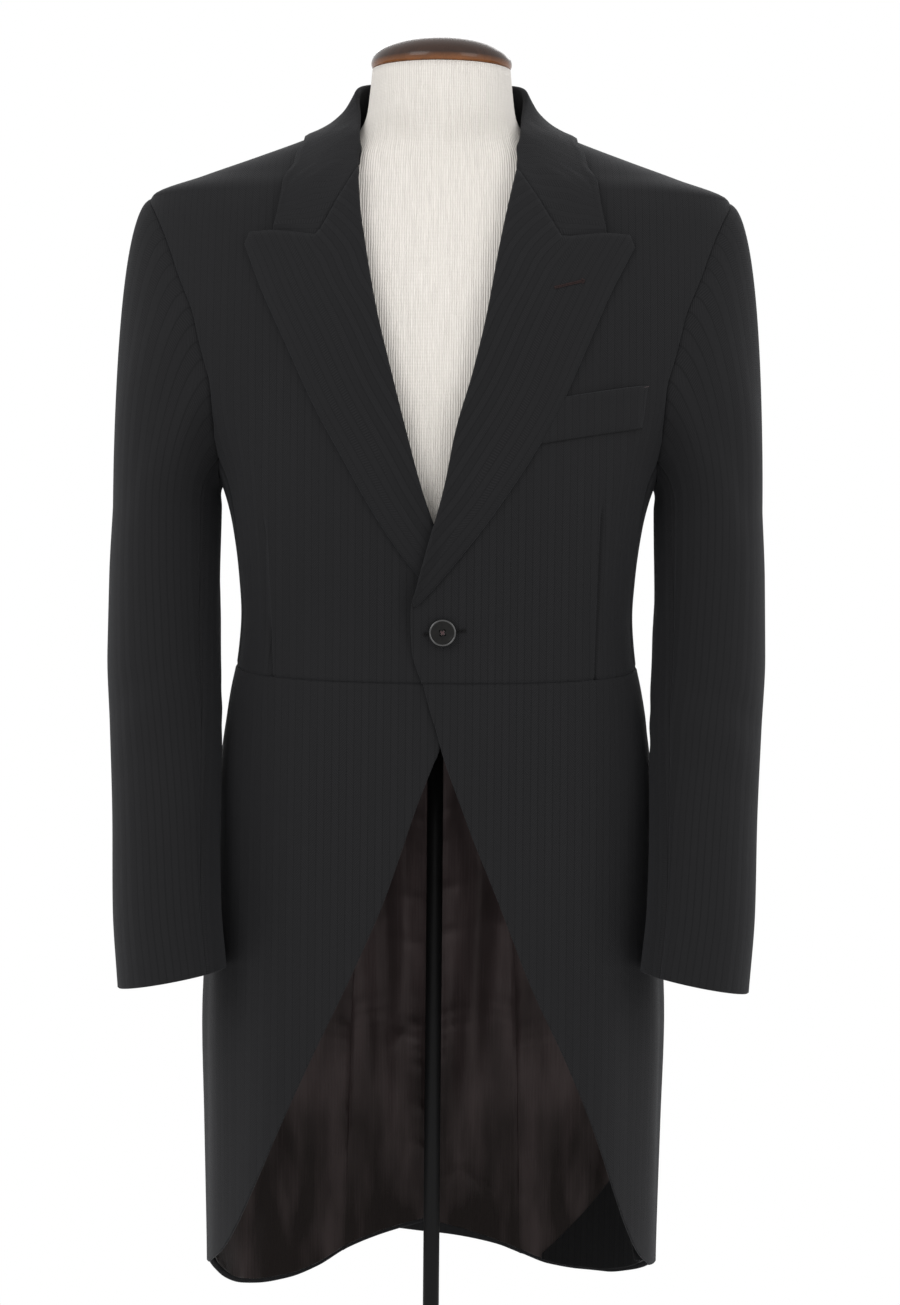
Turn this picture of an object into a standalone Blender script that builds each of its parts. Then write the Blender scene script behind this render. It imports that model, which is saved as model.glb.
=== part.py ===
"""Morning coat on a limbless dress form, standing on a round base.

Metres, +Z up. The origin is on the floor under the middle of the base. The coat
faces -Y, and +X is the wearer's left. Every cloth panel is a thin wall on one
body surface, which is a stack of rounded rings read from the BODY table.
"""
import math

import bmesh
import bpy
from mathutils import Vector

# ---- driving dimensions -------------------------------------------------------
CLOTH = 0.0018          # thickness of the wool
LINING = 0.0010         # thickness of the lining
SEAM = 0.0002           # half of the gap along a seam
LINING_GAP = 0.0013     # from the wool to the lining inside it
FACING_GAP = 0.0024     # from the lining to the facing laid inside it
WAIST_FRONT = 0.9757    # height of the waist seam at centre front
WAIST_RISE = 0.115      # how far it climbs for each metre towards the back
VENT_TOP = 0.985        # top of the centre back vent
VENT_UNDERLAP = 12.0    # degrees that the wearer's left back passes the centre
VENT_STEP = 0.0075      # from the centre to the wearer's right edge of the vent
LAPEL_REST = 0.0017     # air under the lapel at its roll
LAPEL_STAND = 0.0024    # extra air under its outer edge
FALL_REST = 0.0010      # air under the fallen collar beside and behind the neck
FALL_BRIDGE = 0.3       # how far it bridges the hollow there, from none to 1
FALL_LEAN = 0.8         # degrees that its roll starts apart on the two sides
BUTTON_RADIUS = 0.0107
BUTTON_THICK = 0.0040
BUTTON_HEIGHT = 1.0156  # of the closing button
BUTTON_SIDE = 0.0050    # how far it sits from the centre line
POLE_RADIUS = 0.0065
BASE_RADIUS = 0.205
BASE_THICK = 0.014
FORM_BOTTOM = 0.945
NECK_TOP = 1.4700
CAP_TOP = 1.4960


class Table:
    """Rows of numbers under named columns, read smoothly between the rows."""

    def __init__(self, names, rows):
        self.names = names.split()
        self.rows = rows

    def at(self, key, name):
        column = self.names.index(name)
        xs = [row[0] for row in self.rows]
        ys = [row[column] for row in self.rows]
        last = len(xs) - 2
        i = min(max(sum(1 for x in xs if x <= key) - 1, 0), last)
        step = xs[i + 1] - xs[i]
        t = (key - xs[i]) / step
        m0 = self.slope(xs, ys, i)
        m1 = self.slope(xs, ys, i + 1)
        a = (1 + 2 * t) * (1 - t) ** 2 * ys[i] + t * (1 - t) ** 2 * step * m0
        return a + t * t * (3 - 2 * t) * ys[i + 1] + t * t * (t - 1) * step * m1

    @staticmethod
    def slope(xs, ys, k):
        if k == 0 or k == len(xs) - 1:
            j = min(k, len(xs) - 2)
            return (ys[j + 1] - ys[j]) / (xs[j + 1] - xs[j])
        a = (ys[k] - ys[k - 1]) / (xs[k] - xs[k - 1])
        b = (ys[k + 1] - ys[k]) / (xs[k + 1] - xs[k])
        return 0.0 if a * b <= 0 else 2 * a * b / (a + b)


BODY = Table("height half_width front back side square", [
    (0.460, 0.1830, -0.132, 0.146, 0.052, 2.30),
    (0.540, 0.1845, -0.132, 0.143, 0.052, 2.30),
    (0.620, 0.1862, -0.131, 0.139, 0.052, 2.30),
    (0.700, 0.1880, -0.130, 0.135, 0.050, 2.30),
    (0.750, 0.1865, -0.129, 0.133, 0.048, 2.30),
    (0.800, 0.1835, -0.129, 0.130, 0.045, 2.30),
    (0.850, 0.1800, -0.128, 0.126, 0.040, 2.35),
    (0.900, 0.1765, -0.126, 0.118, 0.033, 2.40),
    (0.940, 0.1715, -0.123, 0.107, 0.025, 2.40),
    (0.970, 0.1660, -0.121, 0.099, 0.018, 2.45),
    (1.000, 0.1600, -0.121, 0.095, 0.015, 2.50),
    (1.030, 0.1580, -0.123, 0.096, 0.015, 2.50),
    (1.060, 0.1600, -0.127, 0.101, 0.016, 2.50),
    (1.100, 0.1655, -0.132, 0.110, 0.018, 2.50),
    (1.130, 0.1735, -0.136, 0.116, 0.020, 2.40),
    (1.150, 0.1840, -0.137, 0.118, 0.020, 2.30),
    (1.180, 0.2050, -0.136, 0.121, 0.020, 2.15),
    (1.220, 0.2300, -0.131, 0.123, 0.020, 2.05),
    (1.264, 0.2440, -0.120, 0.123, 0.019, 2.00),
    (1.300, 0.2480, -0.106, 0.120, 0.018, 2.00),
    (1.340, 0.2440, -0.086, 0.113, 0.016, 2.00),
    (1.368, 0.2333, -0.067, 0.104, 0.015, 2.00),
    (1.384, 0.1941, -0.053, 0.098, 0.018, 2.00),
    (1.400, 0.1514, -0.040, 0.091, 0.022, 2.00),
    (1.416, 0.1100, -0.029, 0.083, 0.025, 2.00),
    (1.427, 0.0860, -0.020, 0.076, 0.027, 2.00),
    (1.441, 0.0725, -0.012, 0.069, 0.028, 2.00),
    (1.460, 0.0665, -0.008, 0.066, 0.028, 2.00),
])

# Where each front ends, from the hem up the cutaway to the lapel's roll and the gorge.
FRONT_EDGE = Table("height left right", [
    (0.509, 0.1746, 0.1800),
    (0.519, 0.1650, 0.1680),
    (0.534, 0.1570, 0.1570),
    (0.555, 0.1485, 0.1455),
    (0.600, 0.1318, 0.1218),
    (0.670, 0.1028, 0.0885),
    (0.732, 0.0750, 0.0618),
    (0.798, 0.0511, 0.0375),
    (0.860, 0.0275, 0.0195),
    (0.929, 0.0038, -0.0038),
    (0.974, -0.0085, -0.0110),
    (1.012, -0.0186, -0.0150),
    (1.034, -0.0187, -0.0150),
    (1.059, -0.0119, -0.0080),
    (1.091, -0.0024, 0.0022),
    (1.117, 0.0053, 0.0116),
    (1.155, 0.0118, 0.0219),
    (1.194, 0.0230, 0.0330),
    (1.233, 0.0327, 0.0419),
    (1.272, 0.0410, 0.0517),
    (1.313, 0.0478, 0.0587),
    (1.347, 0.0541, 0.0634),
    (1.387, 0.0621, 0.0660),
])

# Seams that run down the body, in degrees from centre front.
SIDE_SEAM = Table("height angle", [(0.97, 78.0), (1.03, 77.0), (1.10, 74.0), (1.152, 69.4)])
BACK_SEAM = Table("height angle", [
    (0.48, 159.0), (0.75, 162.0), (0.97, 166.0), (1.002, 166.5), (1.03, 165.0), (1.06, 161.5),
    (1.10, 154.5), (1.13, 148.0), (1.152, 142.5), (1.18, 135.0), (1.218, 128.0),
])
SHOULDER_ANGLE = 98.0

# The armhole, once around: 0 is the armpit, 90 the front, 180 the shoulder point.
ARMHOLE = Table("turn angle height", [
    (0, 92.0, 1.136), (25, 80.0, 1.141), (45, 69.4, 1.152), (65, 59.5, 1.180), (85, 52.5, 1.218),
    (105, 52.8, 1.256), (130, 58.4, 1.305), (152, 69.1, 1.345), (166, 81.0, 1.361),
    (174, 89.5, 1.3662), (180, 98.0, 1.368), (187, 103.5, 1.3662), (195, 108.0, 1.361),
    (208, 112.0, 1.345), (230, 120.0, 1.305), (255, 126.0, 1.256), (275, 128.0, 1.218),
    (295, 123.0, 1.180), (315, 113.0, 1.152), (335, 103.0, 1.141), (360, 92.0, 1.136),
])
TURNS = [row[0] for row in ARMHOLE.rows[:-1]]

# Neck seam and the roll of the collar, by angle around the neck.
NECK = Table("angle seam roll", [
    (20.5, 1.3855, 1.3880), (25.0, 1.3905, 1.4005), (30.0, 1.3956, 1.4080), (36.0, 1.4016, 1.4152),
    (45.0, 1.4090, 1.4230), (56.0, 1.4142, 1.4322), (68.0, 1.4185, 1.4415), (90.0, 1.4235, 1.4565),
    (120.0, 1.4285, 1.4635), (180.0, 1.4310, 1.4665),
])

# Outer edge of the fallen collar, by angle around the neck at its roll.
COLLAR = Table("roll_angle edge_angle edge_height", [
    (20.5, 31.7, 1.3297), (24.0, 31.3, 1.3500), (30.0, 32.6, 1.3720), (42.0, 43.3, 1.3940),
    (60.0, 58.5, 1.4090), (80.0, 79.0, 1.4155), (100.0, 100.0, 1.4175), (125.0, 125.0, 1.4165),
    (150.0, 150.0, 1.4150), (180.0, 180.0, 1.4140),
])

# Lapel, from under the gorge to the break above the button.
LAPEL = Table("row roll_height edge_height left right", [
    (0, 1.300, 1.285, 0.1348, 0.1390),
    (1, 1.260, 1.233, 0.1121, 0.1150),
    (2, 1.215, 1.190, 0.0933, 0.0948),
    (3, 1.170, 1.147, 0.0695, 0.0711),
    (4, 1.125, 1.112, 0.0460, 0.0512),
    (5, 1.090, 1.080, 0.0220, 0.0303),
    (6, 1.060, 1.055, 0.0018, 0.0100),
    (7, 1.036, 1.036, -0.0155, -0.0110),
])
LAPEL_SHARES = [0.0, 0.11, 0.22, 0.33, 0.44, 0.56, 0.68, 0.80, 0.95, 1.0]
GORGE_STEPS = 4         # columns of the lapel along the gorge
CLOSE_STEPS = 3         # and from the gorge's end to the collar's corner
GORGE_END = (0.0950, 1.3230)
COLLAR_CORNER = (0.1290, 1.3297)
PEAK_SHOULDER = (0.1480, 1.3268)
PEAK_TIP = (0.1522, 1.3190)

# Hem of the skirts and tails, by angle around the body.
HEM = Table("angle left right", [
    (70.0, 0.511, 0.509), (90.0, 0.503, 0.501), (105.0, 0.492, 0.485), (118.0, 0.485, 0.472),
    (132.0, 0.481, 0.469), (146.0, 0.482, 0.474), (158.0, 0.491, 0.492), (167.0, 0.501, 0.504),
    (180.0, 0.514, 0.5185),
])

# How far the wearer's left front stands off where it laps over the right one.
LAP = Table("height lift", [
    (0.80, 0.0), (0.87, 0.0), (0.93, 0.0030), (1.00, 0.0030), (1.034, 0.0064), (1.09, 0.0064),
    (1.12, 0.0040), (1.16, 0.0), (1.20, 0.0),
])
LAP_FULL = 0.022
LAP_GONE = 0.066

# Breast welt on the wearer's left: end side, low height, high height.
WELT = [(0.0765, 1.1600, 1.1950), (0.1637, 1.1772, 1.2096)]
WELT_THICK = 0.0015

# Sleeve rings below the armhole.
SLEEVE = Table("height outer inner middle half_depth tilt", [
    (0.744, 0.2475, 0.1625, -0.074, 0.0505, -0.19),
    (0.800, 0.2530, 0.1680, -0.062, 0.0530, -0.08),
    (0.870, 0.2555, 0.1700, -0.047, 0.0560, 0.0),
    (0.940, 0.2595, 0.1700, -0.032, 0.0600, 0.0),
    (1.000, 0.2633, 0.1728, -0.018, 0.0640, 0.0),
    (1.060, 0.2635, 0.1740, -0.006, 0.0680, 0.0),
    (1.115, 0.2620, 0.1745, 0.004, 0.0710, 0.0),
])
SLEEVE_HEAD = 0.075     # how strongly the head springs outwards
SLEEVE_DROP = 0.25      # how strongly it then falls

FORM = Table("height half_width front back side square", [
    (0.945, 0.146, -0.103, 0.088, 0.010, 2.4),
    (0.970, 0.148, -0.105, 0.086, 0.012, 2.4),
    (1.000, 0.146, -0.107, 0.083, 0.012, 2.4),
    (1.030, 0.145, -0.110, 0.084, 0.012, 2.4),
    (1.060, 0.147, -0.114, 0.089, 0.013, 2.4),
    (1.100, 0.153, -0.120, 0.098, 0.015, 2.4),
    (1.130, 0.161, -0.123, 0.104, 0.016, 2.3),
    (1.150, 0.168, -0.124, 0.106, 0.016, 2.2),
    (1.200, 0.182, -0.122, 0.110, 0.016, 2.1),
    (1.260, 0.196, -0.109, 0.110, 0.016, 2.0),
    (1.300, 0.202, -0.095, 0.107, 0.015, 2.0),
    (1.340, 0.204, -0.075, 0.100, 0.014, 2.0),
    (1.362, 0.199, -0.060, 0.094, 0.014, 1.9),
    (1.378, 0.180, -0.049, 0.088, 0.016, 1.8),
    (1.394, 0.134, -0.043, 0.080, 0.016, 1.6),
    (1.408, 0.090, -0.042, 0.070, 0.017, 1.5),
    (1.421, 0.0665, -0.044, 0.063, 0.012, 1.8),
    (1.434, 0.0600, -0.046, 0.058, 0.007, 2.0),
    (1.450, 0.0578, -0.047, 0.056, 0.005, 2.0),
    (1.4700, 0.0558, -0.047, 0.055, 0.004, 2.0),
])

WOOL = ((0.022, 0.022, 0.025), 0.85, 0.0)
SATIN = ((0.012, 0.010, 0.010), 0.35, 0.0)
LINEN = ((0.76, 0.71, 0.62), 0.90, 0.0)
MAHOGANY = ((0.17, 0.045, 0.022), 0.25, 0.0)
HORN = ((0.020, 0.018, 0.018), 0.25, 0.0)
STEEL = ((0.018, 0.018, 0.019), 0.45, 0.6)


# ---- surfaces -----------------------------------------------------------------
def mix(a, b, share):
    return a + (b - a) * share


def ring_point(table, degrees, height):
    """A point of the rounded ring at a height, by angle from centre front."""
    half, front, back, side, square = (table.at(height, name) for name in table.names[1:])
    sine = math.sin(math.radians(degrees))
    cosine = math.cos(math.radians(degrees))
    reach = side - front if cosine >= 0 else back - side
    x = half * math.copysign(abs(sine) ** (2 / square), sine)
    y = side - reach * math.copysign(abs(cosine) ** (2 / square), cosine)
    return Vector((x, y, height))


def ring_normal(table, degrees, height):
    across = ring_point(table, degrees + 0.5, height) - ring_point(table, degrees - 0.5, height)
    upward = ring_point(table, degrees, height + 0.002) - ring_point(table, degrees, height - 0.002)
    return across.cross(upward).normalized()


def angle_at(x, height):
    """The angle whose point on the front of the body lies x from the centre."""
    half = BODY.at(height, "half_width")
    share = min(abs(x) / half, 1.0)
    sine = share ** (BODY.at(height, "square") / 2)
    return math.copysign(math.degrees(math.asin(sine)), x)


def lap_lift(side, x, height):
    if side < 0 or not 0.87 < height < 1.16:
        return 0.0
    share = min(max((LAP_GONE - x) / (LAP_GONE - LAP_FULL), 0.0), 1.0)
    return LAP.at(height, "lift") * share * share * (3 - 2 * share)


def vent_lift(side, degrees, height):
    """The wearer's left back laps outside the right one below the vent's top."""
    if side < 0 or height > VENT_TOP:
        return 0.0
    share = min(max((degrees - 166.0) / 12.0, 0.0), 1.0)
    return 0.0026 * share * share * (3 - 2 * share)


def cloth_point(side, degrees, height, out):
    """A point out from the body surface, on the wearer's left (side 1) or right (-1)."""
    base = ring_point(BODY, degrees, height)
    normal = ring_normal(BODY, degrees, height)
    lift = vent_lift(side, degrees, height)
    if abs(degrees) < 90:
        lift += lap_lift(side, base.x, height)
    place = base + normal * (out + lift)
    return Vector((place.x * side, place.y, place.z))


def seam_angle(degrees, height, distance):
    """The angle moved along the cloth by a distance in metres."""
    speed = (ring_point(BODY, degrees + 0.5, height) - ring_point(BODY, degrees - 0.5, height)).length
    return degrees + distance / max(speed, 1e-5)


def waist(degrees):
    """Height of the waist seam, which lies in one plane that climbs to the back."""
    return WAIST_FRONT + WAIST_RISE * (ring_point(BODY, degrees, 0.988).y - BODY.at(0.988, "front"))


def edge_angle(side, height):
    return angle_at(FRONT_EDGE.at(height, "left" if side > 0 else "right"), height)


# ---- mesh tools -----------------------------------------------------------------
def material(name, look):
    color, rough, metal = look
    made = bpy.data.materials.get(name)
    if made:
        return made
    made = bpy.data.materials.new(name)
    made.use_nodes = True
    shader = made.node_tree.nodes["Principled BSDF"]
    shader.inputs["Base Color"].default_value = (*color, 1.0)
    shader.inputs["Roughness"].default_value = rough
    shader.inputs["Metallic"].default_value = metal
    return made


def place_mesh(name, vertices, faces, look_name, look):
    mesh = bpy.data.meshes.new(name)
    mesh.from_pydata([tuple(v) for v in vertices], [], faces)
    shape = bmesh.new()
    shape.from_mesh(mesh)
    bmesh.ops.recalc_face_normals(shape, faces=shape.faces)
    if shape.calc_volume(signed=True) < 0:
        bmesh.ops.reverse_faces(shape, faces=shape.faces)
    shape.to_mesh(mesh)
    shape.free()
    mesh.shade_smooth()
    thing = bpy.data.objects.new(name, mesh)
    thing.data.materials.append(material(look_name, look))
    bpy.context.scene.collection.objects.link(thing)
    return thing


def grid_length(grid, a, b):
    return (grid[a[0]][a[1]] - grid[b[0]][b[1]]).length


def wall(name, outer, inner, look_name, look, used=None):
    """A closed wall between two matching grids of points; used says which cells exist."""
    rows = len(outer)
    columns = len(outer[0])
    cells = [(i, j) for i in range(rows - 1) for j in range(columns - 1) if used is None or used(i, j)]
    place = {}
    vertices = []
    for layer, grid in enumerate((outer, inner)):
        for i, j in sorted({(a + p, b + q) for a, b in cells for p in (0, 1) for q in (0, 1)}):
            place[layer, i, j] = len(vertices)
            vertices.append(grid[i][j])
    faces = []
    borders = {}
    for i, j in cells:
        corners = [(i, j), (i, j + 1), (i + 1, j + 1), (i + 1, j)]
        spans = [grid_length(outer, corners[k], corners[k + 2]) for k in (0, 1)]
        trios = ((0, 1, 2), (0, 2, 3)) if spans[0] <= spans[1] else ((1, 2, 3), (1, 3, 0))
        for trio in trios:
            faces.append([place[0, *corners[k]] for k in trio])
            faces.append([place[1, *corners[k]] for k in reversed(trio)])
        for a, b in zip(corners, corners[1:] + corners[:1]):
            if (b, a) in borders:
                del borders[b, a]
            else:
                borders[a, b] = True
    for a, b in borders:
        faces.append([place[0, *b], place[0, *a], place[1, *a], place[1, *b]])
    return place_mesh(name, vertices, faces, look_name, look)


def body_wall(name, side, grid, depth=0.0, thick=CLOTH, look_name="wool", look=WOOL, used=None):
    """A wall on the body surface from a grid of angles and heights."""
    outer = [[cloth_point(side, a, z, -depth) for a, z in row] for row in grid]
    inner = [[cloth_point(side, a, z, -depth - thick) for a, z in row] for row in grid]
    return wall(name, outer, inner, look_name, look, used)


def lathe(name, profile, look_name, look, segments=40, stretch=1.0):
    """A turned solid from a profile of radius and height, closed at both ends."""
    vertices = [Vector((0, 0, profile[0][1]))]
    for radius, height in profile:
        for k in range(segments):
            turn = 2 * math.pi * k / segments
            vertices.append(Vector((radius * math.cos(turn), radius * stretch * math.sin(turn), height)))
    vertices.append(Vector((0, 0, profile[-1][1])))
    faces = []
    for k in range(segments):
        after = (k + 1) % segments
        faces.append((0, 1 + after, 1 + k))
        top = 1 + (len(profile) - 1) * segments
        faces.append((len(vertices) - 1, top + k, top + after))
        for ring in range(len(profile) - 1):
            low = 1 + ring * segments
            faces.append((low + k, low + after, low + segments + after, low + segments + k))
    return place_mesh(name, vertices, faces, look_name, look)


# ---- coat body ------------------------------------------------------------------
def label(side):
    return "left" if side > 0 else "right"


GORGE_ANGLES = [28.0, 35.0, 43.0, 52.0, 61.0]
NECK_START = 70.0
SHOULDER_LEVELS = [1.368, 1.376, 1.384]
SHOULDER_HEIGHTS = SHOULDER_LEVELS + [NECK.at(a, "seam") for a in GORGE_ANGLES]
FRONT_SHARES = [0.0, 0.07, 0.16, 0.27, 0.40, 0.55, 0.70, 0.85, 1.0]
SKIRT_SHARES = [0.0, 0.03, 0.07, 0.13, 0.21, 0.31, 0.42, 0.54, 0.66, 0.78, 0.90, 1.0]
LINING_START = 2        # the skirt row and column where its lining begins
BACK_COLUMNS = 4
RISES = [0.28, 0.50, 0.80]


def low_rows(degrees):
    """The heights shared by the panels between the waist seam and the armpit."""
    low = waist(degrees) + SEAM
    return [low, mix(low, 1.03, 0.5), 1.03, 1.06, 1.10]


def front_row(side, pick):
    inner, outer, heights = pick
    row = []
    for share in FRONT_SHARES:
        angle = mix(inner, outer, share)
        row.append((angle, heights(angle)))
    return row


def front(side):
    """Forepart: front edge and lapel roll to the side seam, armhole and shoulder seam."""
    picks = []
    for k in range(5):
        level = low_rows(40.0)[k]
        outer = seam_angle(SIDE_SEAM.at(level, "angle"), level, -SEAM)
        picks.append((edge_angle(side, level), outer, lambda a, k=k: low_rows(a)[k]))
    for rise in RISES:
        level = mix(1.10, ARMHOLE.at(45, "height"), rise)
        outer = seam_angle(SIDE_SEAM.at(level, "angle"), level, -SEAM)
        picks.append((edge_angle(side, level), outer, lambda a, z=level: z))
    for turn in TURNS[2:10]:
        level = ARMHOLE.at(turn, "height")
        outer = ARMHOLE.at(turn, "angle")
        if turn == 45:
            outer = seam_angle(outer, level, -SEAM)
        picks.append((edge_angle(side, level), outer, lambda a, z=level: z))
    for k, level in enumerate(SHOULDER_HEIGHTS):
        inner = edge_angle(side, level) if k < 3 else GORGE_ANGLES[k - 3]
        outer = seam_angle(SHOULDER_ANGLE, level, -SEAM)
        picks.append((inner, outer, lambda a, z=level: z - (0.0003 if z > 1.39 else 0.0)))
    last = seam_angle(SHOULDER_ANGLE, 1.42, -SEAM)
    picks.append((NECK_START, last, lambda a: NECK.at(a, "seam") - 0.0003))
    return body_wall("front_" + label(side), side, [front_row(side, p) for p in picks])


def side_body(side):
    """Side body: a narrow panel under the arm, from the waist seam to the armhole."""
    top = [45, 25, 0, 335, 315, 295, 275]
    columns = []
    for j, turn in enumerate(top):
        share = j / (len(top) - 1)
        arm_angle = ARMHOLE.at(turn, "angle")
        arm_height = ARMHOLE.at(turn, "height")
        column = []
        for k in range(5):
            level = low_rows(mix(78.0, 166.5, share))[k]
            angle = mix(SIDE_SEAM.at(level, "angle"), BACK_SEAM.at(level, "angle"), share)
            column.append((angle, low_rows(angle)[k]))
        for rise in RISES + [1.0]:
            level = mix(1.10, arm_height, rise)
            if j == 0:
                angle = SIDE_SEAM.at(level, "angle")
            elif j == len(top) - 1:
                angle = BACK_SEAM.at(level, "angle")
            else:
                angle = mix(column[4][0], arm_angle, rise)
            column.append((angle, level))
        if j == 0:
            column = [(seam_angle(a, z, SEAM), z) for a, z in column]
        if j == len(top) - 1:
            column = [(seam_angle(a, z, -SEAM), z) for a, z in column]
        columns.append(column)
    grid = [[column[k] for column in columns] for k in range(len(columns[0]))]
    return body_wall("side_body_" + label(side), side, grid)


def hang_heights(side, share, start, end, low_start, low_end, angle, fall):
    """The height of a skirt row: level at the waist, following the hem at the bottom."""
    line = mix(start, end, share)
    low_line = mix(low_start, low_end, share)
    hem = HEM.at(angle, label(side))
    return line + fall ** 2.5 * (hem - low_line)


FALLS = [0.0, 0.05, 0.12, 0.24, 0.38, 0.53, 0.68, 0.80, 0.89, 0.95, 0.98, 1.0]


def pleat(side, fall):
    """The seam between skirt and back, as an angle and a height."""
    top = waist(166.5) - SEAM
    bottom = HEM.at(159.0, label(side))
    level = mix(top, bottom, fall)
    return BACK_SEAM.at(level, "angle"), level


def skirt_grid(side):
    """Angles and heights of a skirt, from its cutaway edge to the back pleat."""
    side_name = label(side)
    edge_low = FRONT_EDGE.rows[0][0]
    pleat_low = HEM.at(159.0, side_name)
    grid = []
    for fall in FALLS:
        edge_level = mix(waist(0) - SEAM, edge_low, fall)
        first = edge_angle(side, edge_level)
        last, last_level = pleat(side, fall)
        last = seam_angle(last, last_level, -SEAM)
        row = []
        for j, share in enumerate(SKIRT_SHARES):
            angle = mix(first, last, share)
            level = hang_heights(side, share, edge_level, last_level, edge_low, pleat_low, angle, fall)
            bow = waist(angle) - mix(waist(0), waist(166.5), share)
            row.append((angle, level + bow * (1 - fall) ** 4))
        grid.append(row)
    return grid


def skirt(side):
    """Skirt: hangs from the waist seam, cut away from the button to the side."""
    return body_wall("skirt_" + label(side), side, skirt_grid(side))


def tail_grid(side):
    """The back below the waist, from the pleat to the centre back."""
    side_name = label(side)
    centre_low = HEM.at(180.0, side_name)
    pleat_low = HEM.at(159.0, side_name)
    grid = []
    for fall in FALLS:
        first, first_level = pleat(side, fall)
        first = seam_angle(first, first_level, SEAM)
        last_level = mix(waist(180) - SEAM, centre_low, fall)
        step = VENT_STEP * min(fall / FALLS[1], 1.0) if side < 0 else 0.0
        last = seam_angle(180.0, last_level, -SEAM - step)
        row = []
        for j in range(BACK_COLUMNS + 1):
            share = j / BACK_COLUMNS
            angle = mix(first, last, share)
            level = hang_heights(side, share, first_level, last_level, pleat_low, centre_low, angle, fall)
            row.append((angle, level))
        grid.append(row)
    return grid


def back(side):
    """Back: one length from the neck to the hem, with the centre seam and the vent."""
    grid = tail_grid(side)[::-1]
    vent_rows = len([fall for fall in FALLS if fall >= 0.05]) - 1
    for k, level in enumerate([mix(waist(166.5), 1.03, 0.5), 1.03, 1.06, 1.10]):
        grid.append([(BACK_SEAM.at(level, "angle"), level)])
    for rise in RISES + [1.0]:
        level = mix(1.10, 1.218, rise)
        grid.append([(BACK_SEAM.at(level, "angle"), level)])
    for turn in [255, 230, 208, 195, 187]:
        grid.append([(ARMHOLE.at(turn, "angle"), ARMHOLE.at(turn, "height"))])
    for level in SHOULDER_HEIGHTS:
        grid.append([(SHOULDER_ANGLE, level)])
    grid.append([(SHOULDER_ANGLE, None)])
    for i, row in enumerate(grid):
        if len(row) > 1:
            continue
        first, level = row[0]
        near = 1.42 if level is None else level
        on_armhole = 1.23 < near < 1.367
        start = first if on_armhole else seam_angle(first, near, SEAM)
        end = seam_angle(180.0, near, -SEAM)
        angles = [mix(start, end, j / BACK_COLUMNS) for j in range(BACK_COLUMNS + 1)]
        top = [NECK.at(a, "seam") - 0.0003 for a in angles]
        grid[i] = [(a, z if level is None else level) for a, z in zip(angles, top)]
    lap = VENT_UNDERLAP if side > 0 else 0.0
    for row in grid:
        angle, level = row[-1]
        row.append((angle + lap * 0.5, level))
        row.append((angle + lap, level))

    def used(i, j):
        return j < BACK_COLUMNS or (side > 0 and i < vent_rows)

    return body_wall("back_" + label(side), side, grid, used=used)


# ---- lapels, collar, pocket -------------------------------------------------------
def lapel_out(share, row_share):
    """Height of a lapel's underside above the front, growing towards its free edge."""
    return LAPEL_REST + LAPEL_STAND * share * (1 - row_share)


def front_place(side, x, height, out):
    return cloth_point(side, angle_at(x, height), height, out)


def between(start, end, share):
    return tuple(mix(a, b, share) for a, b in zip(start, end))


def lapel_rows(side):
    """Rows of x and height across the lapel, from the gorge down to the break."""
    name = label(side)
    roll_top = (FRONT_EDGE.at(1.381, name), 1.381)
    top = [between(roll_top, GORGE_END, k / GORGE_STEPS) for k in range(GORGE_STEPS)]
    top += [between(GORGE_END, COLLAR_CORNER, k / CLOSE_STEPS) for k in range(CLOSE_STEPS)]
    top += [COLLAR_CORNER, PEAK_SHOULDER, PEAK_TIP]
    rows = [top]
    plain = []
    for step in range(len(LAPEL.rows)):
        roll_height = LAPEL.at(step, "roll_height")
        roll = (FRONT_EDGE.at(roll_height, name), roll_height)
        edge = (LAPEL.at(step, name), LAPEL.at(step, "edge_height"))
        plain.append([between(roll, edge, share) for share in LAPEL_SHARES])
    for blend in (0.25, 0.5, 0.75):
        row = [between(p, q, blend) for p, q in zip(top, plain[0])]
        row[0] = (FRONT_EDGE.at(row[0][1], name), row[0][1])
        rows.append(row)
    return rows + plain


def lapel(side):
    """Peak lapel: the turned-back facing of the front, free along its outer edge."""
    outer, inner = [], []
    rows = lapel_rows(side)
    for i, row in enumerate(rows):
        shift = -SEAM if i == 0 else 0.0
        for grid, extra in ((outer, CLOTH), (inner, 0.0)):
            grid.append([
                front_place(side, x, z + shift, lapel_out(share, i / (len(rows) - 1)) + extra)
                for (x, z), share in zip(row, LAPEL_SHARES)
            ])
    return wall("lapel_" + label(side), outer, inner, "wool", WOOL)


def fall_point(side, turn, across, thick):
    """The fall where it bridges the hollow between the collar's roll and its outer edge."""
    roll = (turn, NECK.at(turn, "roll"))
    edge = (COLLAR.at(turn, "edge_angle"), COLLAR.at(turn, "edge_height"))
    start = cloth_point(1, *roll, 0.0009)
    end = cloth_point(1, *edge, 0.0012)
    normal = ring_normal(BODY, *roll).lerp(ring_normal(BODY, *edge), across).normalized()
    place = start.lerp(end, across) + normal * thick
    return Vector((place.x * side, place.y, place.z))


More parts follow.
